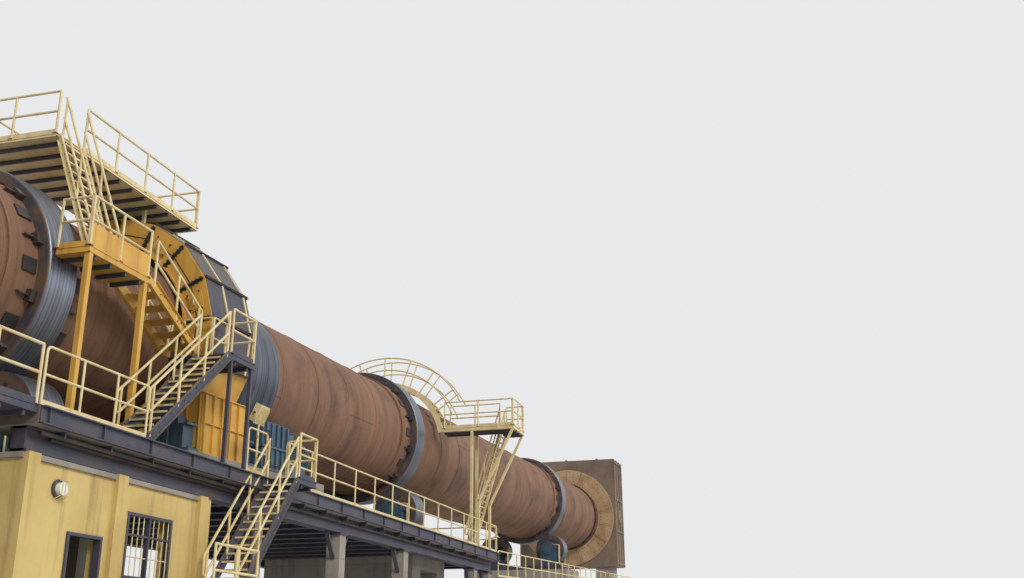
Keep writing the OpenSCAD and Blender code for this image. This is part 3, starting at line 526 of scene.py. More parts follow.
class Finish(Enum):
    """The finishes of the plant, each with what builds it and the record's slot it belongs to."""

    SHELL = ("shell_steel", KilnPlate())
    TYRE = ("tyre_steel", RolledSteel("tyre_rolled_steel", 1.27))
    ROLLER_NEAR = ("tyre_steel", RolledSteel("roller_near_steel", 0.425, (0.0, -0.8477, -1.4682)))
    ROLLER_FAR = ("tyre_steel", RolledSteel("roller_far_steel", 0.425, (0.0, 0.8477, -1.4682)))
    OCHRE = ("ochre_paint", Weathered(
        "ochre_paint_dusty", tone(210, 164, 74), tone(196, 148, 60), tone(124, 90, 48), rust_from=0.7,
        streaks=0.45, grain=2.0))
    CREAM = ("cream_paint", Weathered(
        "cream_paint_chipped", tone(222, 206, 160), tone(206, 184, 128), tone(150, 116, 70), rust_from=0.64,
        streaks=0.35, dusting=0.3, grain=5.0, rough=(0.42, 0.7), bump=0.001))
    DARK = ("dark_steel", Weathered(
        "dark_steel_worn", tone(68, 69, 84), tone(82, 78, 84), tone(58, 48, 44), rust_from=0.62,
        dusting=0.6, metal=0.25))
    CAST = ("cast_steel", Weathered(
        "cast_steel_greasy", tone(58, 54, 56), tone(84, 72, 64), tone(36, 32, 32), rust_from=0.68,
        streaks=0.4, rough=(0.42, 0.7), metal=0.45))
    MACHINE = ("machine_paint", Weathered(
        "machine_paint_oily", tone(58, 84, 100), tone(48, 70, 88), tone(40, 38, 38), rust_from=0.7,
        dusting=0.7, rough=(0.35, 0.65)))
    CONCRETE = ("concrete", Masonry(
        "concrete_stained", tone(156, 148, 136), tone(132, 124, 113), tone(98, 87, 76)))
    PLASTER = ("wall_plaster", Masonry(
        "plaster_yellowed", tone(206, 182, 116), tone(188, 160, 98), tone(128, 104, 66),
        board=1.9, joint=0.2, bump=0.002))
    HOOD = ("hood_plate", Weathered(
        "hood_plate_heated", tone(130, 112, 94), tone(108, 94, 82), tone(80, 66, 56), rust_from=0.63,
        streaks=0.45, dusting=0.6, grain=1.4, rough=(0.6, 0.85), metal=0.1))
    SEAL = ("seal_plate", Weathered(
        "seal_plate_beige", tone(186, 158, 120), tone(164, 134, 98), tone(110, 84, 62), rust_from=0.64,
        streaks=0.45, grain=2.2, rough=(0.55, 0.8), metal=0.1))
    GLASS = ("cream_paint", Glass())

    def __init__(self, slot: str, recipe: Weathered | KilnPlate | RolledSteel | Masonry | Glass) -> None:
        """Keeps the slot and the recipe."""
        self.slot = slot
        self.recipe = recipe


class FormTree:
    """A Geometry Nodes tree built in Python, with named inputs for its sizes."""

    def __init__(self, name: str, **inputs: object) -> None:
        """Starts a tree.

        Args:
            name: the tree's name.
            inputs: its sizes with their defaults, whole numbers as int.
        """
        self.tree = bpy.data.node_groups.new(name, "GeometryNodeTree")
        face = self.tree.interface
        for way in ("INPUT", "OUTPUT"):
            face.new_socket("Geometry", in_out=way, socket_type="NodeSocketGeometry")
        self.keys: dict[str, str] = {}
        for key, value in {**inputs, "finish": None}.items():
            kind = "Material" if key == "finish" else "Int" if isinstance(value, int) else "Float"
            socket = face.new_socket(key, in_out="INPUT", socket_type="NodeSocket" + kind)
            if value is not None:
                socket.default_value = value
            self.keys[key] = socket.identifier
        self.start = self.tree.nodes.new("NodeGroupInput")

    def input(self, key: str) -> Socket:
        """Gives the output socket of a named input."""
        return next(s for s in self.start.outputs if s.identifier == self.keys[key])

    def node(self, kind: str, settings: dict[str, object] | None = None, **sockets: object) -> Socket:
        """Adds one node.

        Args:
            kind: the node's type.
            settings: properties that are set before the sockets.
            sockets: what its inputs are linked or set to, with a low line for each blank.

        Returns:
            The node's first output.
        """
        node = self.tree.nodes.new(kind)
        for key, value in (settings or {}).items():
            setattr(node, key, value)
        for key, value in sockets.items():
            socket = next(s for s in node.inputs if key.replace("_", " ") == s.name and s.enabled)
            if isinstance(value, Socket):
                self.tree.links.new(value, socket)
            else:
                socket.default_value = value
        return node.outputs[0]

    def fact(self, name: str) -> Socket:
        """Reads a vector that the seed's points carry."""
        return self.node("GeometryNodeInputNamedAttribute", {"data_type": "FLOAT_VECTOR"}, Name=name)

    def close(self, shape: Socket) -> "FormTree":
        """Realizes the instances, sets the finish and ends the tree.

        Args:
            shape: what the tree has made.

        Returns:
            The tree itself.
        """
        real = self.node("GeometryNodeRealizeInstances", Geometry=shape)
        paint = self.node("GeometryNodeSetMaterial", Geometry=real, Material=self.input("finish"))
        self.tree.links.new(paint, self.tree.nodes.new("NodeGroupOutput").inputs[0])
        return self

    def on_points(self, instance: Socket, **sockets: object) -> "FormTree":
        """Sets an instance on each point and ends the tree."""
        return self.close(self.node(
            "GeometryNodeInstanceOnPoints", Points=self.start.outputs[0], Instance=instance, **sockets))

    def run(self, name: str, seedling: bpy.types.Mesh, **values: object) -> bpy.types.Mesh:
        """Makes a plain mesh from the tree.

        Args:
            name: the new mesh's name.
            seedling: the points or lines that the tree starts from.
            values: sizes and finish by the names of the tree's inputs.

        Returns:
            The mesh, with no modifier left.
        """
        carrier = bpy.data.objects.new(name + "_seed", seedling)
        bpy.context.scene.collection.objects.link(carrier)
        step = carrier.modifiers.new("form", "NODES")
        step.node_group = self.tree
        for key, value in values.items():
            step[self.keys[key]] = value
        graph = bpy.context.evaluated_depsgraph_get()
        mesh = bpy.data.meshes.new_from_object(carrier.evaluated_get(graph))
        mesh.name = name
        carrier.modifiers.remove(step)
        bpy.data.objects.remove(carrier)
        bpy.data.meshes.remove(seedling)
        return mesh


def circle(tree: FormTree, sides: object, radius: object) -> Socket:
    """Adds a circle to a tree."""
    return tree.node("GeometryNodeCurvePrimitiveCircle", Resolution=sides, Radius=radius)


def pipe_tree() -> FormTree:
    """Builds the tree that makes round bars and pipes along lines, with bends of a stated radius.

    Returns:
        The tree.
    """
    t = FormTree("pipework", radius=0.02, bend=0.02, sides=10)
    curve = t.node("GeometryNodeMeshToCurve", Mesh=t.start.outputs[0])
    bent = t.node(
        "GeometryNodeFilletCurve", {"mode": "POLY"}, Curve=curve, Radius=t.input("bend"), Count=4,
        Limit_Radius=True)
    profile = circle(t, t.input("sides"), t.input("radius"))
    return t.close(t.node("GeometryNodeCurveToMesh", Curve=bent, Profile_Curve=profile, Fill_Caps=True))


def stud_tree() -> FormTree:
    """Builds the tree that sets a bolt head, pin or cap on each point, facing the point's own way.

    Returns:
        The tree.
    """
    t = FormTree("studs", radius=0.012, height=0.01, sides=6)
    head = t.node(
        "GeometryNodeMeshCylinder", {"fill_type": "NGON"}, Vertices=t.input("sides"),
        Radius=t.input("radius"), Depth=t.input("height"))
    turn = t.node("FunctionNodeAlignRotationToVector", {"axis": "Z"}, Vector=t.fact("facing"))
    return t.on_points(head, Rotation=turn)


def block_tree() -> FormTree:
    """Builds the tree that sets a plate or bar on each point, with the point's own size and turn."""
    t = FormTree("blocks")
    return t.on_points(t.node("GeometryNodeMeshCube"), Rotation=t.fact("turn"), Scale=t.fact("size"))


def hoop_tree() -> FormTree:
    """Builds the tree that lays round bars as hoops about the kiln axis, one on each point along it.

    Returns:
        The tree.
    """
    t = FormTree("hoops", radius=1.1, bar=0.01)
    hoop = t.node(
        "GeometryNodeCurveToMesh", Curve=circle(t, 96, t.input("radius")),
        Profile_Curve=circle(t, 6, t.input("bar")))
    return t.on_points(hoop, Rotation=(0.0, math.pi / 2.0 - TILT, 0.0))


@dataclass
class Workshop:
    """Makes pieces, gives them their finish and has them ride on their body."""

    pipework: FormTree = field(default_factory=pipe_tree)
    studding: FormTree = field(default_factory=stud_tree)
    blockwork: FormTree = field(default_factory=block_tree)
    hooping: FormTree = field(default_factory=hoop_tree)
    paints: dict[Finish, bpy.types.Material] = field(default_factory=dict)
    pieces: int = 0

    def paint(self, finish: Finish) -> bpy.types.Material:
        """Gives the material of a finish, and builds it on first use.

        Args:
            finish: the finish.

        Returns:
            Its material.
        """
        if finish not in self.paints:
            self.paints[finish] = finish.recipe.build()
        return self.paints[finish]

    def make(self, name: str, form: FormTree, seed: bpy.types.Mesh, finish: Finish, body: Body | str,
             smooth: bool = True, **sizes: float) -> bpy.types.Object:
        """Makes one piece and puts it in the scene.

        Args:
            name: the piece's name.
            form: the tree that makes it.
            seed: the points or lines that the tree starts from.
            finish: its finish.
            body: the body that it moves with.
            smooth: whether it is shaded smooth, but for the edges that turn by SHARP_FROM or more.
            sizes: the sizes of the tree.

        Returns:
            The new object.
        """
        mesh = form.run(name, seed, finish=self.paint(finish), **sizes)
        mesh.materials.clear()
        mesh.materials.append(self.paint(finish))
        if smooth:
            mesh.shade_smooth()
            mesh.set_sharp_from_angle(angle=SHARP_FROM)
        obj = bpy.data.objects.new(name, mesh)
        bpy.context.scene.collection.objects.link(obj)
        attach(obj, body.value if isinstance(body, Body) else body)
        self.pieces += 1
        LOG.info("piece %s: %d faces on %s", name, len(mesh.polygons), body)
        return obj

    def spots(self, name: str, points: list[Vector], **facts: list[Vector]) -> bpy.types.Mesh:
        """Makes a seed mesh of points.

        Args:
            name: the piece's name.
            points: where the points lie.
            facts: a vector for each point by name, such as which way it faces.

        Returns:
            The seed mesh.
        """
        seed = bpy.data.meshes.new(name + "_points")
        seed.from_pydata([tuple(p) for p in points], [], [])
        for key, values in facts.items():
            layer = seed.attributes.new(key, "FLOAT_VECTOR", "POINT")
            layer.data.foreach_set("vector", [c for v in values for c in v])
        return seed

    def pipes(self, name: str, lines: list[Line], radius: float, finish: Finish, bend: float = 0.03,
              body: Body | str = Body.PLANT, sides: int = 10) -> bpy.types.Object:
        """Makes round bars along lines.

        Args:
            name: the piece's name.
            lines: the points of each bar.
            radius: the bar's radius.
            finish: its finish.
            bend: the radius of its bends.
            body: the body that it moves with.
            sides: the sides of its section.

        Returns:
            The piece.
        """
        seed = bpy.data.meshes.new(name + "_lines")
        points, edges = [], []
        for line in lines:
            edges += [(i, i + 1) for i in range(len(points), len(points) + len(line) - 1)]
            points += [tuple(p) for p in line]
        seed.from_pydata(points, edges, [])
        return self.make(name, self.pipework, seed, finish, body, radius=radius, bend=bend, sides=sides)

    def studs(self, name: str, heads: list[Head], radius: float, height: float, finish: Finish = Finish.CAST,
              body: Body | str = Body.PLANT, sides: int = 6) -> None:
        """Sets a bolt head or cap on each point, facing its own way, with as many sides as stated."""
        seed = self.spots(name, [p for p, _ in heads], facing=[f for _, f in heads])
        self.make(name, self.studding, seed, finish, body, radius=radius, height=height, sides=sides)

    def blocks(self, name: str, bars: list[Bar], finish: Finish, body: Body | str = Body.PLANT) -> None:
        """Sets plates or bars, all of one finish and on one body."""
        seed = self.spots(name, [b[0] for b in bars], size=[b[1] for b in bars], turn=[b[2] for b in bars])
        self.make(name, self.blockwork, seed, finish, body, smooth=False)

    def hoops(self, name: str, stations: list[float], radius: float, bar: float, finish: Finish,
              body: Body | str = Body.PLANT) -> None:
        """Lays hoops about the kiln axis at some stations, the bar being the radius of their section."""
        seed = self.spots(name, [on_axis(u) for u in stations])
        self.make(name, self.hooping, seed, finish, body, radius=radius, bar=bar)


@dataclass(frozen=True)
class Site:
    """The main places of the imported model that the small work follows."""

    deck_z: float = 2.24
    deck_half: float = 2.1
    deck_x0: float = -11.9
    deck_x1: float = 2.5
    deck_t: float = 0.16
    beam_y: float = 1.88
    columns: tuple[float, ...] = (-7.6, -5.1, -2.55, 1.3, 2.3)
    rail_h: float = 0.55
    bar: float = 0.02
    pitch: float = 0.76
    stair_w: float = 0.4
    shell_r: float = 1.1
    seat_r: float = 1.13
    gear_u: float = -7.875
    guard_r: float = 1.5823
    guard_in: float = 1.18
    guard_w: float = 1.05
    stations: Trio = (-10.8, 0.0, 12.6)
    outlet_u: float = -13.9
    inlet_u: float = 19.1
    seal_u: float = -13.525
    sleeve: float = 0.0146


SITE = Site()


@dataclass
class Work:
    """The small work on one sub-assembly, made in a workshop."""

    shop: Workshop


@dataclass(frozen=True)
class RailRun:
    """A straight run of railing, with the corner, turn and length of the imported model's square bars."""

    corner: Trio
    turn: float
    length: float
    tilt: float = 0.0
    foot: float = 0.05
    foot_t: float = 0.006
    bolt_off: float = 0.017
    toe_h: float = 0.06

    def point(self, along: float, high: float) -> Vector:
        """Gives a point of the run's middle plane.

        Args:
            along: its distance from the run's start.
            high: its height over the floor.

        Returns:
            The point.
        """
        rise = Matrix.Rotation(math.radians(-self.tilt), 3, "Y")
        way = Matrix.Rotation(math.radians(self.turn), 3, "Z")
        return Vector(self.corner) + way @ (rise @ Vector((along, SITE.bar / 2.0, high)))

    def posts(self) -> list[float]:
        """Gives where the posts stand."""
        bays = max(1, math.ceil(self.length / SITE.pitch - 1e-6))
        return spread(SITE.bar / 2.0, self.length - SITE.bar / 2.0, bays + 1)

    def rails(self) -> list[Line]:
        """Gives the rails and posts.

        Returns:
            The top rail with both end posts as one bent line, the middle rail, then the other posts.
        """
        top, middle = SITE.rail_h - SITE.bar / 2.0, (SITE.rail_h + SITE.bar) / 2.0
        first, *inner, last = self.posts()
        hoop = [(first, 0.0), (first, top), (last, top), (last, 0.0)]
        paths = [hoop, [(first, middle), (last, middle)]] + [[(at, 0.0), (at, top)] for at in inner]
        return [[self.point(*place) for place in path] for path in paths]

    def toe(self) -> Bar:
        """Gives the toe plate."""
        start, end = (self.point(along, self.toe_h / 2.0) for along in (0.0, self.length))
        return bar_between(start, end, 0.006, self.toe_h)

    def feet(self) -> list[Bar]:
        """Gives the plates under the posts.

        Returns:
            The bars.
        """
        size = Vector((self.foot, self.foot, self.foot_t))
        turn = Vector((0.0, math.radians(-self.tilt), math.radians(self.turn)))
        return [(self.point(at, self.foot_t / 2.0), size, turn) for at in self.posts()]

    def foot_bolts(self) -> list[Head]:
        """Gives the bolts of those plates.

        Returns:
            Four heads for each plate.
        """
        side = Matrix.Rotation(math.radians(self.turn), 3, "Z") @ Vector((0.0, self.bolt_off, 0.0))
        places = product(self.posts(), SIDES, SIDES)
        return [(self.point(at + a * self.bolt_off, self.foot_t + 0.003) + side * b, UP)
                for at, a, b in places]


def runs(z: float, *rows: tuple[float, float, float, float]) -> list[RailRun]:
    """Gives level runs at one height, each row with the X and Y of its corner, its turn and its length."""
    return [RailRun((x, y, z), turn, length) for x, y, turn, length in rows]


@dataclass(frozen=True)
class Flight:
    """A flight of open treads between stringers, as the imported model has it."""

    name: str
    corner: Trio
    along: Trio
    side: Trio
    rise: float
    run: float
    steps: int
    finish: Finish
    loop: float = 0.05
    bars: int = 9
    lip: Pair = (0.026, 0.007)

    def point(self, x: float, y: float, z: float) -> Vector:
        """Gives a point by its distance along, across and up."""
        return Vector(self.corner) + Vector(self.along) * x + Vector(self.side) * y + UP * z

    def on_line(self, x: float, y: float, high: float) -> Vector:
        """Gives a point above the pitch line."""
        return self.point(x, y, x * self.rise / self.run + high)

    def tread(self, step: int, x: float, y: float, z: float) -> Vector:
        """Gives a point by its place along, in goings from a tread's back edge, and its height over it."""
        return self.point((step + x) * self.run / self.steps, y, step * self.rise / self.steps + z)

    def rails(self) -> list[Line]:
        """Gives the handrails and posts of both sides.

        Returns:
            The middle rail, the handrail with its loop, then the posts, for each side.
        """
        half, going = SITE.bar / 2.0, self.run / self.steps
        low, high = 0.3 * going, self.run - 0.6 * going
        middle, top = SITE.rail_h / 2.0 + half, SITE.rail_h - half
        inset = 0.003 + half
        end = low - self.loop
        paths = [[(low, middle), (high, middle)], [(low, middle), (end, middle), (end, top), (high, top)]]
        paths += [[(x, 0.0), (x, top)]
                  for x in spread(low + inset, high - inset, max(2, round(self.run / 0.5)) + 1)]
        return [[self.on_line(x, y, z) for x, z in path] for y in (half, SITE.stair_w - half)
                for path in paths]

    def nosings(self) -> list[Bar]:
        """Gives the bright front edge of each tread.

        Returns:
            The bars.
        """
        ends = (0.016, SITE.stair_w - 0.016)
        rows = [[self.tread(i, -0.95, y, -0.006) + Vector(self.along) * 0.003 for y in ends]
                for i in self.treads()]
        return [bar_between(start, end, 0.012, 0.02) for start, end in rows]

    def treads(self) -> range:
        """Gives the numbers of the treads."""
        return range(1, self.steps)

    def grating(self) -> list[Bar]:
        """Gives the serrated bars on each tread.

        Returns:
            The bars.
        """
        places = product(self.treads(), spread(0.03, SITE.stair_w - 0.03, self.bars))
        return [bar_between(self.tread(i, -0.9, y, 0.002), self.tread(i, 0.08, y, 0.002), 0.005, 0.006)
                for i, y in places]

    def lips(self) -> list[Bar]:
        """Gives the flanges that make a channel of each stringer.

        Returns:
            The bars.
        """
        part, (wide, thick) = 0.7 / self.steps, self.lip
        x, z = part * self.run, part * self.rise
        paths = (((0.0, z), (self.run - x, self.rise)), ((x, 0.0), (self.run, self.rise - z)))
        return [bar_between(self.point(a, y, b), self.point(c, y, d), wide, thick)
                for y in (-wide / 2.0, SITE.stair_w + wide / 2.0) for (a, b), (c, d) in paths]

    def tread_bolts(self) -> list[Head]:
        """Gives two bolts at each end of each tread, on the stringers' outer faces."""
        places = product(self.treads(), (-0.7, -0.3), ((-0.004, -1.0), (SITE.stair_w + 0.004, 1.0)))
        return [(self.tread(i, off, y, -0.02), Vector(self.side) * way) for i, off, (y, way) in places]


@dataclass
class StairWork(Work):
    """The five flights with their handrails, nosings, gratings and stringer flanges."""

    flights: tuple[Flight, ...] = (
        Flight("lower_stair", (-9.0, -2.5003, 0.7), (1, 0, 0), (0, 1, 0), 1.54, 1.34, 16, Finish.DARK),
        Flight("middle_stair", (-10.25, -2.08, 2.24), (1, 0, 0), (0, 1, 0), 1.3, 1.5, 14, Finish.DARK),
        Flight("upper_stair", (-8.75, -1.66, 3.54), (-1, 0, 0), (0, 1, 0), 0.58, 1.15, 6, Finish.OCHRE),
        Flight("crown_ladder", (-9.96, -1.265, 4.12), (0, 1, 0), (-1, 0, 0), 1.66, 0.645, 14, Finish.CREAM),
        Flight("crossover_ladder", (1.56, -1.72, 2.24), (0, -1, 0), (1, 0, 0), 2.38, 0.6997, 22,
               Finish.CREAM))

    def build(self) -> None:
        """Dresses every flight."""
        shop = self.shop
        for flight in self.flights:
            shop.pipes(flight.name + "_handrails", flight.rails(), SITE.sleeve, Finish.CREAM)
            shop.blocks(flight.name + "_nosings", flight.nosings(), Finish.CREAM)
            shop.blocks(flight.name + "_grating", flight.grating(), Finish.DARK)
            shop.blocks(flight.name + "_flanges", flight.lips(), flight.finish)
            shop.studs(flight.name + "_bolts", flight.tread_bolts(), 0.007, 0.008)


@dataclass(frozen=True)
class Plate:
    """A level floor of a landing or a platform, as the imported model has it."""

    x0: float
    x1: float
    y0: float
    y1: float
    top: float
    thick: float = 0.07
    joist: Trio = (0.28, 0.03, 0.045)
    lip: Pair = (0.014, 0.008)
    mesh: tuple[float, float, float, float] = (0.035, 0.12, 0.006, 0.004)

    def bar(self, x: float, y: float, z: float, *size: float) -> Bar:
        """Gives a bar by its place across the floor, with 0 to 1 from side to side."""
        return plain_bar(self.x0 + (self.x1 - self.x0) * x, self.y0 + (self.y1 - self.y0) * y, z, *size)

    def joists(self) -> list[Bar]:
        """Gives the joists under the floor.

        Returns:
            The bars.
        """
        pitch, wide, high = self.joist
        count, z = max(2, round((self.x1 - self.x0) / pitch)), self.top - self.thick - high / 2.0
        long = self.y1 - self.y0 - 0.03
        return [self.bar((i + 0.5) / count, 0.5, z, wide, long, high) for i in range(count)]

    def lips(self) -> list[Bar]:
        """Gives the flanges that make a channel of each edge.

        Returns:
            The bars.
        """
        wide, thick = self.lip
        along, across = self.x1 - self.x0 + wide, self.y1 - self.y0 + wide
        bars = []
        for z, side in product((self.top - thick / 2.0, self.top - self.thick + thick / 2.0), (0.0, 1.0)):
            bars += [self.bar(0.5, side, z, along, wide, thick), self.bar(side, 0.5, z, wide, across, thick)]
        return bars

    def grating(self) -> list[Bar]:
        """Gives the bars of the grating on the floor.

        Returns:
            The bars.
        """
        pitch, cross_pitch, wide, high = self.mesh
        along, across = self.x1 - self.x0 - 0.05, self.y1 - self.y0 - 0.05
        rows, cross = max(2, round(across / pitch)), max(2, round(along / cross_pitch))
        z = self.top + high / 2.0
        bars = [self.bar(0.5, (i + 0.5) / rows, z, along, wide, high) for i in range(rows)]
        return bars + [self.bar((i + 0.5) / cross, 0.5, z - 0.001, wide, across, high) for i in range(cross)]


@dataclass
class PlatformWork(Work):
    """The joists, edge flanges and gratings of all landings and platforms."""

    floors: tuple[tuple[str, Finish, tuple[Plate, ...]], ...] = (
        ("landing", Finish.DARK, (
            Plate(-8.75, -8.19, -2.08, -1.66, 3.54), Plate(-8.75, -8.49, -1.66, -1.26, 3.54),
            Plate(-7.66, -7.18, -2.5003, -2.1003, 2.24), Plate(-13.69, -11.91, -2.08, -1.3, 2.24))),
        ("platform", Finish.OCHRE, (
            Plate(-9.9, -9.0, -2.75, -2.101, 0.7), Plate(-10.95, -9.9, -1.66, -1.265, 4.12))),
        ("walkway", Finish.CREAM, (
            Plate(-10.4, -7.4, -0.62, 0.62, 5.78, 0.04),
            Plate(1.15, 1.55, -2.8, -1.3, 4.62), Plate(1.57, 1.97, -2.8, -2.42, 4.62),
            Plate(1.15, 1.55, 1.3, 2.8, 4.62), Plate(1.57, 1.97, 2.42, 2.8, 4.62))))
    stub: Trio = (0.05, 0.05, 0.92)

    def build(self) -> None:
        """Dresses the floors, and stands the crossover's slanting braces on the deck."""
        shop = self.shop
        for word, finish, plates in self.floors:
            shop.blocks(word + "_joists", [bar for p in plates for bar in p.joists()], Finish.DARK)
            shop.blocks(word + "_edge_flanges", [bar for p in plates for bar in p.lips()], finish)
            shop.blocks(word + "_gratings", [bar for p in plates for bar in p.grating()], Finish.DARK)
        stubs = [plain_bar(x, side * 2.075, 2.7, *self.stub) for x, side in product((1.175, 1.945), SIDES)]
        shop.blocks("crossover_stub_posts", stubs, Finish.CREAM)


@dataclass
class RailWork(Work):
    """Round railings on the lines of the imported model's square bars."""

    tube: float = 0.0125
    bend: float = 0.05
    gallery_x: float = 2.4203
    arch_x: Pair = (1.16, 1.54)
    arch_steps: int = 26

    def swapped(self) -> dict[str, list[RailRun]]:
        """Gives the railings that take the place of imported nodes.

        Returns:
            Their runs by the nodes' names.
        """
        z, gallery_z = SITE.deck_z, AXIS_Z + self.gallery_x * math.tan(TILT) - 2.6197 / math.cos(TILT)
        return {
            "railing_near": runs(z, (-11.88, -2.08, 0, 1.61), (-8.19, -2.08, 0, 0.49),
                                 (-7.18, -2.08, 0, 9.66)),
            "railing_far": runs(z, (-11.88, 2.06, 0, 14.36)),
            "railing_ends": runs(z, (-11.86, -1.28, 90, 0.66), (-11.86, 0.62, 90, 1.44),
                                 (2.48, -2.06, 90, 4.12)),
            "gallery_railing": [RailRun((self.gallery_x, -2.13, gallery_z), 0, 17.1501, 2.0)]}

    def sleeved(self) -> dict[str, list[RailRun]]:
        """Gives the railings that are packed together with a platform or a stair.

        Returns:
            Their runs by the names of their pieces.
        """
        return {
            "hood_walkway": runs(SITE.deck_z, (-13.62, -2.08, 0, 1.7), (-13.62, -1.32, 0, 1.7)),
            "lower_landing": runs(0.7, (-9.9, -2.75, 0, 0.9)),
            "stair_head": runs(SITE.deck_z, (-7.66, -2.5003, 0, 0.48), (-7.18, -2.4803, 90, 0.38)),
            "stair_landing": runs(
                3.54, (-8.75, -2.08, 0, 0.56), (-8.19, -2.06, 90, 0.4), (-8.49, -1.66, 90, 0.4),
                (-8.51, -1.68, 0, 0.32)),
            "upper_platform": runs(4.12, (-10.95, -1.66, 0, 1.05), (-10.93, -1.64, 90, 0.375)),
            "crown_platform": runs(
                5.78, (-9.92, -0.62, 0, 2.52), (-10.4, 0.6, 0, 3.0), (-10.38, -0.6, 90, 1.2),
                (-7.4, -0.6, 90, 1.2)),
            "crossover": runs(
                4.62, (1.15, -2.8, 0, 0.82), (1.97, -2.78, 90, 0.36), (1.17, -2.78, 90, 1.45),
                (1.55, -2.42, 90, 1.09), (1.15, 2.78, 0, 0.82), (1.97, 2.42, 90, 0.36),
                (1.17, 1.33, 90, 1.45), (1.55, 1.33, 90, 1.09))}

    def arch_lines(self) -> list[Line]:
        """Gives the rails and posts of the arched walk over the shell.

        Returns:
            Two rails and seven posts for each side.
        """
        centre = AXIS_Z + 1.35 * math.tan(TILT)
        half = SITE.bar / 2.0
        lines = []
        for x in self.arch_x:
            for radius, floor in ((1.86 + half, 5.17 - half), (1.6 + half, 4.895 + half)):
                reach = math.degrees(math.acos((floor - centre) / radius))
                lines.append([(x, centre, radius, angle)
                              for angle in spread(-reach, reach, self.arch_steps + 1)])
            lines += [[(x, centre, radius, 18.0 * i) for radius in (1.34, 1.86 + half)] for i in range(-3, 4)]
        return [[self.arch_point(*place) for place in line] for line in lines]

    def arch_point(self, x: float, centre: float, radius: float, degrees: float) -> Vector:
        """Gives a point on an arc over the shell."""
        angle = math.radians(degrees)
        return Vector((x, -radius * math.sin(angle), centre + radius * math.cos(angle)))

    def build(self) -> None:
        """Builds all railings."""
        for node, rows in self.swapped().items():
            lines = [line for run in rows for line in run.rails()]
            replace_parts(self.shop.pipes(node + "_tubes", lines, self.tube, Finish.CREAM, self.bend), node)
            self.shop.blocks(node + "_toe_plates", [run.toe() for run in rows], Finish.CREAM)
            self.feet(node, rows)
        for node, rows in self.sleeved().items():
            lines = [line for run in rows for line in run.rails()]
            lines += self.arch_lines() if node == "crossover" else []
            self.shop.pipes(node + "_rail_tubes", lines, SITE.sleeve, Finish.CREAM, 0.001)
            self.feet(node, rows)

    def feet(self, name: str, rows: list[RailRun]) -> None:
        """Sets the foot plates and bolts of some runs.

        Args:
            name: the railing's name.
            rows: its runs.
        """
        self.shop.blocks(name + "_foot_plates", [bar for run in rows for bar in run.feet()], Finish.DARK)
        bolts = [head for run in rows for head in run.foot_bolts()]
        self.shop.studs(name + "_foot_bolts", bolts, 0.0045, 0.006)


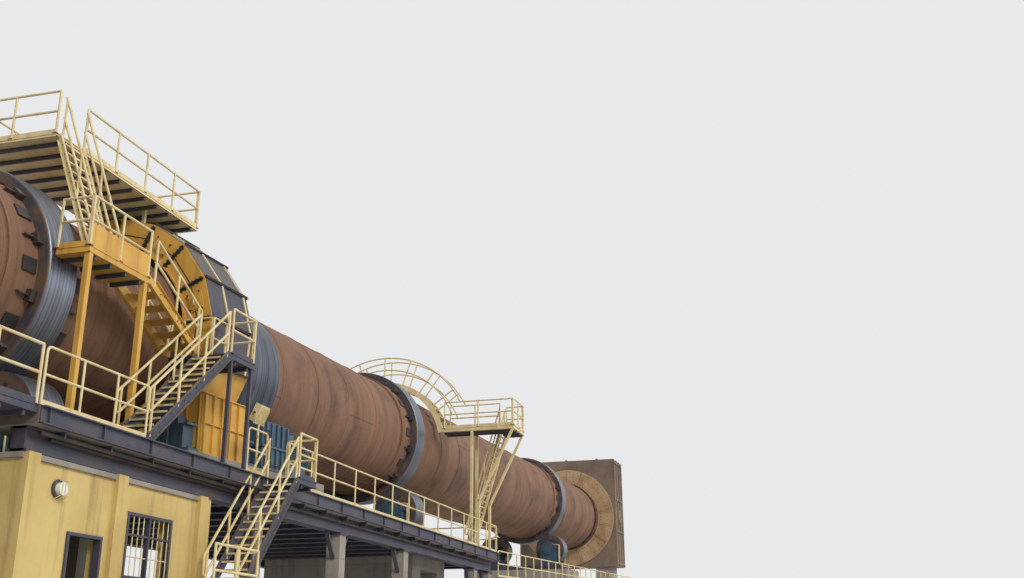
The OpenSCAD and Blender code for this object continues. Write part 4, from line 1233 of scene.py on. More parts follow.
@dataclass
class KilnWork(Work):
    """What is fixed on the turning kiln: seams, pads, bolts and ring joints."""

    course: float = 1.2
    stagger: float = 57.0
    seam: float = 0.007
    pads: int = 12
    pad: Trio = (0.2, 0.15, 0.018)
    gusset: Trio = (0.14, 0.016, 0.044)
    ring_us: Pair = (SITE.outlet_u + 0.08, SITE.inlet_u - 0.9)
    band: Pair = (-6.66, -5.64)
    tyre_clear: float = 0.28
    gear_clear: float = 0.6
    thick_half: float = 0.65
    last_u: float = 18.1

    def off_tyre(self, u: float) -> float:
        """Gives the distance to the nearest tyre."""
        return min(abs(u - s) for s in SITE.stations)

    def plain(self, u: float) -> bool:
        """Tells whether a round seam may lie there, clear of the tyres, the gear, the band and the seal.

        Args:
            u: its place along the axis.

        Returns:
            True if it may.
        """
        off, on_band = self.off_tyre(u), self.band[0] < u < self.band[1]
        on_gear, on_step = abs(u - SITE.gear_u) < self.gear_clear, abs(off - self.thick_half) < 0.03
        return not (off < self.tyre_clear or on_band or on_gear or on_step or u > self.last_u)

    def seams(self) -> tuple[list[float], list[float]]:
        """Finds the round seams.

        Returns:
            Where they lie on the plain shell, and where on the thicker courses.
        """
        count = int((SITE.inlet_u - SITE.outlet_u) / self.course)
        places = [u for u in (SITE.outlet_u + i * self.course for i in range(1, count)) if self.plain(u)]
        thin = [u for u in places if self.off_tyre(u) >= self.thick_half]
        thick = [u for u in places if self.off_tyre(u) < self.thick_half]
        ends = list(product(SITE.stations, SIDES))
        thin += [s + side * (self.thick_half + 0.002) for s, side in ends]
        thick += [s + side * (self.thick_half - 0.05) for s, side in ends]
        return thin, thick

    def long_lines(self) -> list[Line]:
        """Finds the seams along the courses, staggered from one course to the next.

        Returns:
            Their lines.
        """
        marks = sorted(self.seams()[0])
        lines = []
        for i, (start, end) in enumerate(zip(marks, marks[1:])):
            middle = (start + end) / 2.0
            if end - start <= 1.5 and self.off_tyre(middle) >= 0.7 and abs(middle - SITE.gear_u) >= 0.7:
                lines += [[around(u, SITE.shell_r, angle) for u in (start, end)]
                          for angle in spokes(2, self.stagger * i)]
        return lines

    def beside_tyres(self, off: float, size: Trio, first: float) -> list[Bar]:
        """Gives a ring of plates on both sides of each tyre, from the first angle on."""
        places = product(SITE.stations, (-off, off), spokes(self.pads, first))
        return [round_bar(u + side, SITE.seat_r + size[2] / 2.0, angle, size) for u, side, angle in places]

    def build(self) -> None:
        """Dresses the kiln."""
        shop = self.shop
        thin, thick = self.seams()
        shop.hoops("shell_round_seams", thin, SITE.shell_r, self.seam, Finish.SHELL, Body.KILN)
        shop.hoops("shell_seat_seams", thick, SITE.seat_r, self.seam, Finish.SHELL, Body.KILN)
        shop.pipes("shell_long_seams", self.long_lines(), self.seam, Finish.SHELL, 0.001, Body.KILN, 6)
        pads = self.beside_tyres(0.36, self.pad, 30.0)
        shop.blocks("tyre_pads", pads, Finish.CAST, Body.KILN)
        gussets = self.beside_tyres(0.39, self.gusset, 15.0)
        shop.blocks("tyre_stop_gussets", gussets, Finish.CAST, Body.KILN)
        places = product(self.ring_us, spokes(36), (-0.045, 0.045))
        bolts = [round_head(u + off, SITE.shell_r + 0.05, angle) for u, angle, off in places]
        shop.studs("end_ring_bolts", bolts, 0.013, 0.014, body=Body.KILN)
        places = product(self.ring_us, spokes(12, 5.0))
        joints = [round_bar(u, SITE.shell_r + 0.048, angle, (0.15, 0.03, 0.01)) for u, angle in places]
        shop.blocks("end_ring_joints", joints, Finish.CAST, Body.KILN)
        places = product(spokes(12), (-0.07, 0.07), (-1.8, 1.8))
        bolts = [(around(SITE.gear_u + side, SITE.seat_r + 0.028, angle + off), spin(angle) @ UP)
                 for angle, side, off in places]
        shop.studs("spring_plate_bolts", bolts, 0.014, 0.014, body=Body.KILN)


@dataclass
class GuardWork(Work):
    """The gear guard's flanges, rim plates of painted shade with cream strips of painted highlight, bolts,
    hatches and the pinion casing's ribs.
    """

    segments: int = 18
    first: float = 5.0
    # Where the cream strips of painted highlight lie across the rim, measured from the guard's middle.
    strips: Pair = (-0.12, 0.42)
    inner: float = 1.2
    outer: float = 1.555
    hatch_r: float = 1.38
    hatch_angles: tuple[float, ...] = (35.0, 75.0, 295.0)
    casing: Trio = (-1.5328, -1.5228, -0.7828)
    casing_joints: Pair = (118.0, 160.0)
    casing_flats: Pair = (112.0, 160.0)
    opening: int = 36

    def face(self, side: float, off: float = 0.0) -> float:
        """Gives where a face of the guard lies along the axis."""
        return SITE.gear_u + side * (SITE.guard_w / 2.0 + off)

    def joints(self) -> list[float]:
        """Gives the angles of the segment joints."""
        return spokes(self.segments, self.first)

    def flats(self) -> list[float]:
        """Gives the middle angles of the segments that are clear of the pinion casing."""
        low, high = self.casing_flats
        return [a for a in spokes(self.segments, self.first + 180.0 / self.segments) if not low < a < high]

    def rim(self) -> None:
        """Dresses the rim with pairs of flange plates, a dark cover plate that is painted shade and two cream
        strips that are painted highlights on each segment.
        """
        half = math.pi / self.segments
        wide, flat = 2.0 * SITE.guard_r * math.sin(half), SITE.guard_r * math.cos(half)
        low, high = self.casing_joints
        pairs = product((a for a in self.joints() if not low < a < high), (-0.4, 0.4))
        flanges = [round_bar(SITE.gear_u, SITE.guard_r + 0.008, a + off, (SITE.guard_w, 0.009, 0.05))
                   for a, off in pairs]
        self.shop.blocks("guard_rim_flanges", flanges, Finish.CAST)
        # The dark cover plates are painted shade: the rim's shaded darkness laid on as dark plates.
        size = (SITE.guard_w - 0.03, wide - 0.03, 0.006)
        plates = [round_bar(SITE.gear_u, flat + 0.003, angle, size) for angle in self.flats()]
        self.shop.blocks("guard_rim_plates", plates, Finish.DARK)
        # Two cream strips on each segment: painted highlights, standing for light caught on the rim's ridges.
        strips = [round_bar(SITE.gear_u + off, flat + 0.01, angle, (0.034, wide * 0.985, 0.02))
                  for angle, off in product(self.flats(), self.strips)]
        self.shop.blocks("guard_rim_strips", strips, Finish.CREAM)

    def faces(self) -> None:
        """Dresses both faces with joint covers, seams, bolts and the angle bars round the opening."""
        middle, long = (self.inner + self.outer) / 2.0, self.outer - self.inner
        seam_r = self.inner + 0.45 * long
        chord = 2.0 * seam_r * math.tan(math.pi / self.segments)
        covers = []
        for side, angle in product(SIDES, self.joints()):
            covers.append(round_bar(self.face(side, 0.003), middle, angle, (0.006, 0.05, long)))
            half = angle + 180.0 / self.segments
            covers.append(round_bar(self.face(side, 0.002), seam_r, half, (0.005, chord, 0.012)))
        self.shop.blocks("guard_joint_covers", covers, Finish.CAST)
        places = product(self.joints(), SIDES, spread(SITE.guard_in + 0.05, SITE.guard_in + 0.35, 6),
                         (-0.03, 0.03))
        bolts = [(around(self.face(side, 0.004), r, angle + math.degrees(off / r)), axis_way(side))
                 for angle, side, r, off in places]
        self.shop.studs("guard_joint_bolts", bolts, 0.01, 0.01)
        size = (0.024, 2.04 * (SITE.guard_in + 0.02) * math.tan(math.pi / self.opening), 0.02)
        angles = [round_bar(self.face(side, 0.012), SITE.guard_in + 0.018, angle, size)
                  for side, angle in product(SIDES, spokes(self.opening, 180.0 / self.opening))]
        self.shop.blocks("guard_opening_angles", angles, Finish.OCHRE)

    def hatches(self) -> None:
        """Sets the inspection covers on the outlet face, each with a plate, a bow handle and wing nuts."""
        layers = ((0.006, (0.012, 0.24, 0.2)), (0.016, (0.01, 0.2, 0.16)))
        plates = [round_bar(self.face(-1.0, off), self.hatch_r, angle, size)
                  for angle, (off, size) in product(self.hatch_angles, layers)]
        self.shop.blocks("guard_hatches", plates, Finish.OCHRE)
        bow = ((0.02, -2.0), (0.055, -2.0), (0.055, 2.0), (0.02, 2.0))
        bows = [[around(self.face(-1.0, off), self.hatch_r, a + turn) for off, turn in bow]
                for a in self.hatch_angles]
        self.shop.pipes("guard_hatch_handles", bows, 0.007, Finish.CREAM, 0.015)
        places = product(self.hatch_angles, (-4.4, 4.4), (self.hatch_r - 0.08, self.hatch_r + 0.08))
        nuts = [(around(self.face(-1.0, 0.02), radius, angle + off), axis_way(-1.0))
                for angle, off, radius in places]
        self.shop.studs("guard_hatch_nuts", nuts, 0.012, 0.018)

    def casing_ribs(self) -> list[Bar]:
        """Gives the stiffeners on the pinion casing.

        Returns:
            The upright ribs, the level ribs and those on its two ends.
        """
        y, z0, z1 = self.casing
        middle, high = (z0 + z1) / 2.0, z1 - z0
        bars = [kiln_bar(u, y - 0.015, middle, 0.012, 0.03, high - 0.02)
                for u in spread(self.face(-1.0, -0.02), self.face(1.0, -0.02), 6)]
        bars += [kiln_bar(SITE.gear_u, y - 0.012, z, SITE.guard_w, 0.024, 0.012)
                 for z in (z0 + 0.01, middle, z1 - 0.01)]
        return bars + [kiln_bar(self.face(side, 0.012), y + off, middle, 0.024, 0.012, high - 0.04)
                       for side, off in product(SIDES, (0.03, 0.2))]

    def build(self) -> None:
        """Dresses the guard."""
        self.rim()
        self.faces()
        self.hatches()
        self.shop.blocks("pinion_casing_ribs", self.casing_ribs(), Finish.OCHRE)


@dataclass
class StationWork(Work):
    """The bearings, bedplates, water pipes and roller faces of the three support stations."""

    roller_y: float = 0.8477
    roller_z: float = -1.4682
    bearing_off: float = 0.38
    bearing_w: float = 0.2
    bearing_r: float = 0.21
    bed_top: float = -1.93
    foot_half: float = 0.23
    pipe_y: float = 1.29
    lid: Trio = (0.1, 0.1, 0.02)
    split: Pair = (0.07, 0.022)
    foot: Pair = (0.1, 0.04)
    rib: Pair = (0.02, 0.044)
    anchors: tuple[Pair, ...] = (
        (-0.57, 1.19), (0.57, 1.19), (-0.57, 0.15), (0.57, 0.15), (0.0, 1.2), (0.0, 0.5))

    def spots(self) -> list[Trio]:
        """Gives the middle, the Y and the outer end of every bearing."""
        places = product(SITE.stations, SIDES, SIDES)
        return [(u + end * self.bearing_off, side * self.roller_y, end) for u, side, end in places]

    def flanges(self) -> list[Bar]:
        """Gives the split flanges, the feet, the ribs and the lids of every bearing.

        Returns:
            The bars.
        """
        high, low = self.roller_z, self.bed_top
        bars = [kiln_bar(u, y, high + self.bearing_r + 0.006, *self.lid) for u, y, _ in self.spots()]
        for (u, y, _), off in product(self.spots(), SIDES):
            bars += [
                kiln_bar(u, y + off * (self.bearing_r + 0.035), high + 0.012, self.bearing_w, *self.split),
                kiln_bar(u, y + off * (self.foot_half + 0.05), low + 0.02, self.bearing_w, *self.foot),
                kiln_bar(u, y + off * (self.foot_half + 0.022), (low + high) / 2.0, *self.rib,
                         high - low - self.foot[1])]
        return bars

    def bolts(self) -> list[Head]:
        """Gives the bolts of the flanges, the feet and the lids.

        Returns:
            Three squares of four heads for each bearing.
        """
        rows = (
            (0.06, self.bearing_r + 0.045, self.roller_z + 0.033),
            (0.06, self.foot_half + 0.06, self.bed_top + 0.052),
            (0.03, 0.03, self.roller_z + self.bearing_r + 0.02))
        return [(on_axis(u + a * along, y + b * across, z), KILN_UP)
                for (u, y, _), (along, across, z), a, b in product(self.spots(), rows, SIDES, SIDES)]

    def water_pipes(self) -> list[Line]:
        """Gives the cooling pipes that drop from each bearing to a long pipe beside the bedplate.

        Returns:
            Two drops for each bearing, then the long pipes.
        """
        high, low, out = self.roller_z + 0.13, self.bed_top - 0.03, self.roller_y + self.bearing_r + 0.1
        path = ((self.roller_y + 0.18, high), (out, high), (out, low), (self.pipe_y, low))
        lines = [[on_axis(u + off, math.copysign(across, y), z) for across, z in path]
                 for (u, y, _), off in product(self.spots(), (-0.05, 0.05))]
        return lines + [[on_axis(u + off, side * self.pipe_y, low) for off in (-0.6, 0.6)]
                        for u, side in product(SITE.stations, SIDES)]

    def bed_bolts(self) -> list[Head]:
        """Gives the anchor bolts of the bedplates, six heads on each half of each one."""
        return [(on_axis(u + x, side * y, self.bed_top + 0.014), KILN_UP)
                for u, side, (x, y) in product(SITE.stations, SIDES, self.anchors)]

    def roller_faces(self) -> None:
        """Gives each roller its end plates and plugs, on its own body."""
        for (k, u), (side, word) in product(enumerate(SITE.stations, 1), zip(SIDES, ("near", "far"))):
            name, y = f"roller_{k}_{word}", side * self.roller_y
            plugs = [head for end in SIDES
                     for head in bolt_circle(u + end * 0.254, y, self.roller_z, 0.3, 10, end)]
            self.shop.studs(name + "_face_plugs", plugs, 0.022, 0.012, Finish.CAST, name, 12)
            bosses = [(on_axis(u + end * 0.256, y, self.roller_z), axis_way(end)) for end in SIDES]
            self.shop.studs(name + "_hub_bosses", bosses, 0.165, 0.014, Finish.CAST, name, 48)

    def build(self) -> None:
        """Dresses the stations."""
        shop, end_off = self.shop, self.bearing_w / 2.0
        shop.blocks("bearing_flanges", self.flanges(), Finish.MACHINE)
        shop.studs("bearing_bolts", self.bolts(), 0.014, 0.02)
        covers = [(on_axis(u + end * (end_off + 0.026), y, self.roller_z), axis_way(end))
                  for u, y, end in self.spots()]
        shop.studs("bearing_end_covers", covers, 0.15, 0.05, Finish.MACHINE, sides=48)
        screws = [head for u, y, end in self.spots()
                  for head in bolt_circle(u + end * (end_off + 0.054), y, self.roller_z, 0.12, 8, end)]
        shop.studs("bearing_cover_screws", screws, 0.009, 0.008)
        shop.pipes("bearing_water_pipes", self.water_pipes(), 0.011, Finish.CREAM)
        shop.studs("bedplate_bolts", self.bed_bolts(), 0.022, 0.028)
        ribs = [kiln_bar(u + end * 0.635, y, self.bed_top - 0.06, 0.03, 0.014, 0.11)
                for u, y, end in product(SITE.stations, spread(-1.2, 1.2, 9), SIDES)]
        shop.blocks("bedplate_ribs", ribs, Finish.DARK)
        self.roller_faces()


@dataclass
class DriveWork(Work):
    """The pinion bearings, coupling, gearbox and motor."""

    y: float = -1.2028
    z: float = -1.2028
    floor: float = -1.5228
    coupling_u: float = SITE.gear_u + 0.825
    box: Pair = (SITE.gear_u + 0.997, SITE.gear_u + 1.757)
    motor: Pair = (SITE.gear_u + 1.877, SITE.gear_u + 2.577)
    blocks: Pair = (SITE.gear_u - SITE.guard_w / 2.0 - 0.17,
                                   SITE.gear_u + SITE.guard_w / 2.0 + 0.17)

    def bar(self, u: float, across: float, z: float, *size: float) -> Bar:
        """Gives a bar by its place along and its distance from the pinion's middle plane."""
        return kiln_bar(u, self.y + across, z, *size)

    def point(self, u: float, across: float, z: float) -> Vector:
        """Gives a point in the same way."""
        return on_axis(u, self.y + across, z)

    def box_ribs(self) -> list[Bar]:
        """Gives the gearbox's split flange, base flange, lid and ribs.

        Returns:
            The bars.
        """
        start, end = self.box
        middle, long = (start + end) / 2.0, end - start
        bars = [
            self.bar(middle, 0.0, self.z, long + 0.05, 0.71, 0.03),
            self.bar(middle, 0.0, self.floor + 0.02, long + 0.08, 0.76, 0.035),
            self.bar(middle, 0.0, self.z + 0.335, 0.3, 0.26, 0.02)]
        places = product(SIDES, spread(start + 0.08, end - 0.08, 5), ((0.17, 0.3), (-0.16, 0.27)))
        return bars + [self.bar(u, side * 0.34, self.z + up, 0.014, 0.03, high)
                       for side, u, (up, high) in places]

    def motor_fins(self) -> list[Bar]:
        """Gives the motor's cooling fins and its terminal box.

        Returns:
            The bars.
        """
        middle, long = sum(self.motor) / 2.0, self.motor[1] - self.motor[0]
        bars = [self.bar(middle + 0.05, 0.0, self.z + 0.3, 0.2, 0.2, 0.1),
                self.bar(middle + 0.05, 0.0, self.z + 0.355, 0.22, 0.22, 0.012)]
        for turn in map(spin, spread(-110.0, 110.0, 30)):
            centre = self.point(middle, 0.0, self.z) + turn @ Vector((0.0, 0.0, 0.25))
            bars.append((centre, Vector((long - 0.16, 0.007, 0.032)), Vector(turn.to_euler())))
        return bars

    def heads(self, places: list[float], *rows: Pair) -> list[Head]:
        """Gives upright bolts on both sides of the middle plane, each row with its distance and height."""
        return [(self.point(u, side * across, z), KILN_UP)
                for side, u, (across, z) in product(SIDES, places, rows)]

    def oil_pipes(self) -> list[Line]:
        """Gives the oil line of the gearbox and its four lifting eyes.

        Returns:
            The lines.
        """
        start, end = self.box[0] + 0.1, self.box[1] - 0.1
        high, low, foot = self.z + 0.2, self.floor + 0.08, self.z + 0.325
        oil = ((start, -0.33, high), (start, -0.38, high), (start, -0.38, low), (end, -0.38, low),
               (end, -0.33, low))
        eye = ((-0.025, foot), (-0.025, foot + 0.05), (0.025, foot + 0.05), (0.025, foot))
        eyes = [[self.point(u + off, across, z) for off, z in eye]
                for u, across in product((start, end), (-0.2, 0.2))]
        return [[self.point(*place) for place in oil]] + eyes

    def build(self) -> None:
        """Dresses the drive."""
        shop = self.shop
        shop.blocks("gearbox_ribs", self.box_ribs(), Finish.MACHINE)
        row = spread(self.box[0] + 0.03, self.box[1] - 0.03, 8)
        bolts = self.heads(row, (0.345, self.z + 0.022), (0.36, self.floor + 0.044))
        shop.studs("gearbox_bolts", bolts, 0.012, 0.016)
        shop.blocks("motor_fins", self.motor_fins(), Finish.MACHINE)
        rings = [(self.point(u, 0.0, self.z), axis_way())
                 for u in (self.motor[0] + 0.03, self.motor[1] - 0.03)]
        shop.studs("motor_end_rings", rings, 0.27, 0.05, Finish.MACHINE, sides=64)
        faces = ((-1.0, self.coupling_u - 0.004), (1.0, self.coupling_u + 0.164))
        bolts = [head for end, u in faces for head in bolt_circle(u, self.y, self.z, 0.135, 10, end)]
        shop.studs("coupling_bolts", bolts, 0.014, 0.016, body=Body.PINION)
        rows = ((0.285, self.z, 0.05, 0.026), (0.3, self.floor + 0.018, 0.08, 0.035))
        flanges = [self.bar(u, side * across, z, 0.22, wide, high)
                   for u, side, (across, z, wide, high) in product(self.blocks, SIDES, rows)]
        shop.blocks("pinion_bearing_flanges", flanges, Finish.MACHINE)
        row = [u + off for u, off in product(self.blocks, (-0.07, 0.07))]
        bolts = self.heads(row, (0.29, self.z + 0.022), (0.315, self.floor + 0.045))
        shop.studs("pinion_bearing_bolts", bolts, 0.013, 0.018)
        shop.pipes("gearbox_oil_lines", self.oil_pipes(), 0.008, Finish.CAST, 0.02)


@dataclass
class DeckWork(Work):
    """The deck's edge channels, beam flanges, knee plates, pipes and joint strips."""

    middle: float = (SITE.deck_x0 + SITE.deck_x1) / 2.0
    long: float = SITE.deck_x1 - SITE.deck_x0
    z: float = SITE.deck_z - SITE.deck_t / 2.0
    under: float = SITE.deck_z - SITE.deck_t
    web: float = 0.012
    lip: float = 0.05
    drop_x: float = -7.9
    joints: tuple[float, ...] = (-9.4, -6.7, -5.1, -3.5, -2.0, 1.2)
    joists: tuple[float, float, int] = (-9.66, 2.12, 20)
    beam_zs: Pair = (1.872, 2.068)
    beam_flange: Pair = (0.19, 0.02)
    joist_z: float = 1.928
    joist_flange: Trio = (0.13, 3.58, 0.014)
    foot: Trio = (0.28, 0.28, 0.03)
    head_z: float = 1.845
    head: Trio = (0.26, 0.24, 0.026)
    knee: tuple[Pair, Pair] = ((0.1, 1.5), (0.34, 1.85))
    pier: Pair = (0.1115, 1.0)

    def edges(self) -> list[Bar]:
        """Gives the channel along each edge, a web and two lips.

        Returns:
            The bars.
        """
        half, rise = SITE.deck_half, SITE.deck_t / 2.0 - 0.006
        rows = ((self.web, 0.0, SITE.deck_t), (self.lip, -rise, 0.012), (self.lip, rise, 0.012))
        return [plain_bar(self.middle, side * (half + wide / 2.0), self.z + off, self.long, wide, high)
                for side, (wide, off, high) in product(SIDES, rows)]

    def flanges(self) -> list[Bar]:
        """Gives the flanges of the long beams and the joists, with no joist over the middle pier.

        Returns:
            The bars.
        """
        beams = [plain_bar(self.middle, side * SITE.beam_y, z, self.long - 0.08, *self.beam_flange)
                 for side, z in product(SIDES, self.beam_zs)]
        place, half = self.pier
        clear = [x for x in spread(*self.joists) if abs(x - place) > half]
        return beams + [plain_bar(x, 0.0, self.joist_z, *self.joist_flange) for x in clear]

    def knees(self) -> list[Bar]:
        """Gives the foot plates, head plates and knee braces of the columns.

        Returns:
            The bars.
        """
        bars = []
        (near, low), (far, high) = self.knee
        for x, y in product(SITE.columns, (-SITE.beam_y, SITE.beam_y)):
            bars += [plain_bar(x, y, 0.04, *self.foot), plain_bar(x, y, self.head_z, *self.head)]
            ends = [(x + way * near, x + way * far) for way in SIDES]
            bars += [bar_between(Vector((start, y, low)), Vector((end, y, high)), 0.06, 0.03)
                     for start, end in ends if end < SITE.deck_x1]
        return bars

    def eave_pipes(self) -> list[Line]:
        """Gives the pipe under the near edge with its drop, and the conduit behind it.

        Returns:
            The lines.
        """
        y, z = 0.05 - SITE.deck_half, self.under - 0.06
        return [
            [Vector((SITE.deck_x0 + 0.1, y, z)), Vector((self.drop_x, y, z)), Vector((self.drop_x, y, 0.02))],
            [Vector((x, y + 0.05, z - 0.02)) for x in (SITE.deck_x0 + 0.3, SITE.deck_x1 - 0.4)]]

    def build(self) -> None:
        """Dresses the deck."""
        shop, half, dark = self.shop, SITE.deck_half, Finish.DARK
        shop.blocks("deck_edge_channels", self.edges(), dark)
        ends = [plain_bar(self.middle + side * (self.long + self.web) / 2.0, 0.0, self.z, self.web,
                          2.0 * half, SITE.deck_t)
                for side in SIDES]
        shop.blocks("deck_end_fascias", ends, Finish.HOOD)
        stiffeners = [plain_bar(x, side * (half + 0.02), self.z, 0.01, 0.03, SITE.deck_t - 0.024)
                      for x, side in product(spread(SITE.deck_x0 + 0.1, SITE.deck_x1 - 0.1, 19), SIDES)]
        shop.blocks("deck_edge_stiffeners", stiffeners, dark)
        shop.blocks("deck_beam_flanges", self.flanges(), dark)
        shop.blocks("deck_column_knees", self.knees(), dark)
        bolts = [(Vector((x + a * 0.12, side * SITE.beam_y + b * 0.12, 0.064)), UP)
                 for x, side, a, b in product(SITE.columns, SIDES, SIDES, SIDES)]
        shop.studs("deck_column_bolts", bolts, 0.012, 0.02)
        shop.pipes("deck_eave_pipes", self.eave_pipes(), 0.02, Finish.CAST, 0.06)
        clips = [plain_bar(x, 0.075 - half, self.under - 0.03, 0.02, 0.11, 0.06)
                 for x in spread(SITE.deck_x0 + 0.4, SITE.deck_x0 + 13.0, 19)]
        shop.blocks("deck_pipe_clips", clips, dark)
        strips = [plain_bar(x, 0.0, SITE.deck_z + 0.003, 0.05, 3.9, 0.006) for x in self.joints]
        shop.blocks("deck_joint_strips", strips, dark)


@dataclass
class WallWork(Work):
    """The walled bay below the deck: frames, window bars, lamp and bands."""

    y: float = -1.95
    door: Trio = (-11.15, 0.52, 1.25)
    window: tuple[float, float, float, float] = (-10.25, 0.8, 0.9, 0.64)
    lamp: Trio = (-11.35, -1.95, 1.6)
    frame_t: float = 0.03
    band_z: float = 1.83

    def frames(self) -> list[Bar]:
        """Gives the frames of the door and the window, the threshold, the sill and the window's cross.

        Returns:
            The bars.
        """
        slim, y = 2.0 * self.frame_t, self.y + 0.02
        x, wide, high = self.door
        bars = self.frame(x, wide, 0.0, high, 0.08)[:3]
        bars.append(plain_bar(x + wide / 2.0, y + 0.02, 0.012, wide - slim - 0.002, 0.16, 0.024))
        x, wide, z, high = self.window
        middle = x + wide / 2.0
        return bars + self.frame(x, wide, z, high, 0.06) + [
            plain_bar(middle, self.y - 0.01, z - 0.016, wide + 0.1, 0.1, 0.03),
            plain_bar(middle, y, z + high / 2.0, 0.024, 0.05, high - slim),
            plain_bar(middle, y, z + high * 0.66, wide - slim, 0.042, 0.02)]

    def frame(self, x: float, wide: float, z: float, high: float, deep: float) -> list[Bar]:
        """Gives two posts, a head and a foot round an opening.

        Args:
            x: the opening's left side.
            wide: its width.
            z: its foot.
            high: its height.
            deep: how deep the frame is.

        Returns:
            The bars.
        """
        t, y = self.frame_t, self.y + 0.02
        posts = [plain_bar(x + off, y, z + high / 2.0, t, deep, high) for off in (t / 2.0, wide - t / 2.0)]
        level = [plain_bar(x + wide / 2.0, y, z + off, wide - 2.0 * t, deep, t)
                 for off in (high - t / 2.0, t / 2.0)]
        return posts + level

    def window_bars(self) -> list[Line]:
        """Gives the guard bars in front of the window.

        Returns:
            Nine upright bars and two level ones.
        """
        x, wide, z, high = self.window
        y = self.y + 0.012
        upright = [x + wide * (i + 0.5) / 9.0 for i in range(9)]
        lines = [[Vector((at, y, end)) for end in (z + 0.01, z + high - 0.01)] for at in upright]
        return lines + [[Vector((end, y, z + high * k)) for end in (x + 0.01, x + wide - 0.01)]
                        for k in (0.33, 0.66)]

    def bands(self) -> list[Bar]:
        """Gives the eave bands of the walls and the plinth band of the end wall.

        Returns:
            The bars.
        """
        y, z = self.y - 0.012, self.band_z
        return [
            plain_bar(-11.1, y, z, 1.16, 0.03, 0.05), plain_bar(-9.68, y, z, 1.36, 0.03, 0.05),
            plain_bar(-11.85, 0.0, z, 0.03, 3.9, 0.05), plain_bar(-11.848, 0.0, 0.12, 0.02, 3.9, 0.24),
            plain_bar(-10.27, 1.958, z, 3.14, 0.02, 0.05)]

    def build(self) -> None:
        """Dresses the walls."""
        shop, lamp, out = self.shop, Vector(self.lamp), Vector((0.0, -1.0, 0.0))
        shop.blocks("wall_frames", self.frames(), Finish.DARK)
        shop.pipes("wall_window_bars", self.window_bars(), 0.006, Finish.CREAM, 0.002)
        shop.blocks("wall_bands", self.bands(), Finish.CONCRETE)
        shop.studs("wall_lamp_base", [(lamp + out * 0.012, out)], 0.085, 0.024, Finish.DARK, sides=32)
        shop.studs("wall_lamp_glass", [(lamp + out * 0.045, out)], 0.06, 0.05, Finish.GLASS, sides=32)
        wire = ((-0.015, 0.09), (-0.09, 0.06), (-0.09, -0.06), (-0.015, -0.09))
        cage = [[lamp + Vector((off, deep, up)) for deep, up in wire] for off in (-0.045, 0.0, 0.045)]
        shop.pipes("wall_lamp_cage", cage, 0.004, Finish.CREAM, 0.02)


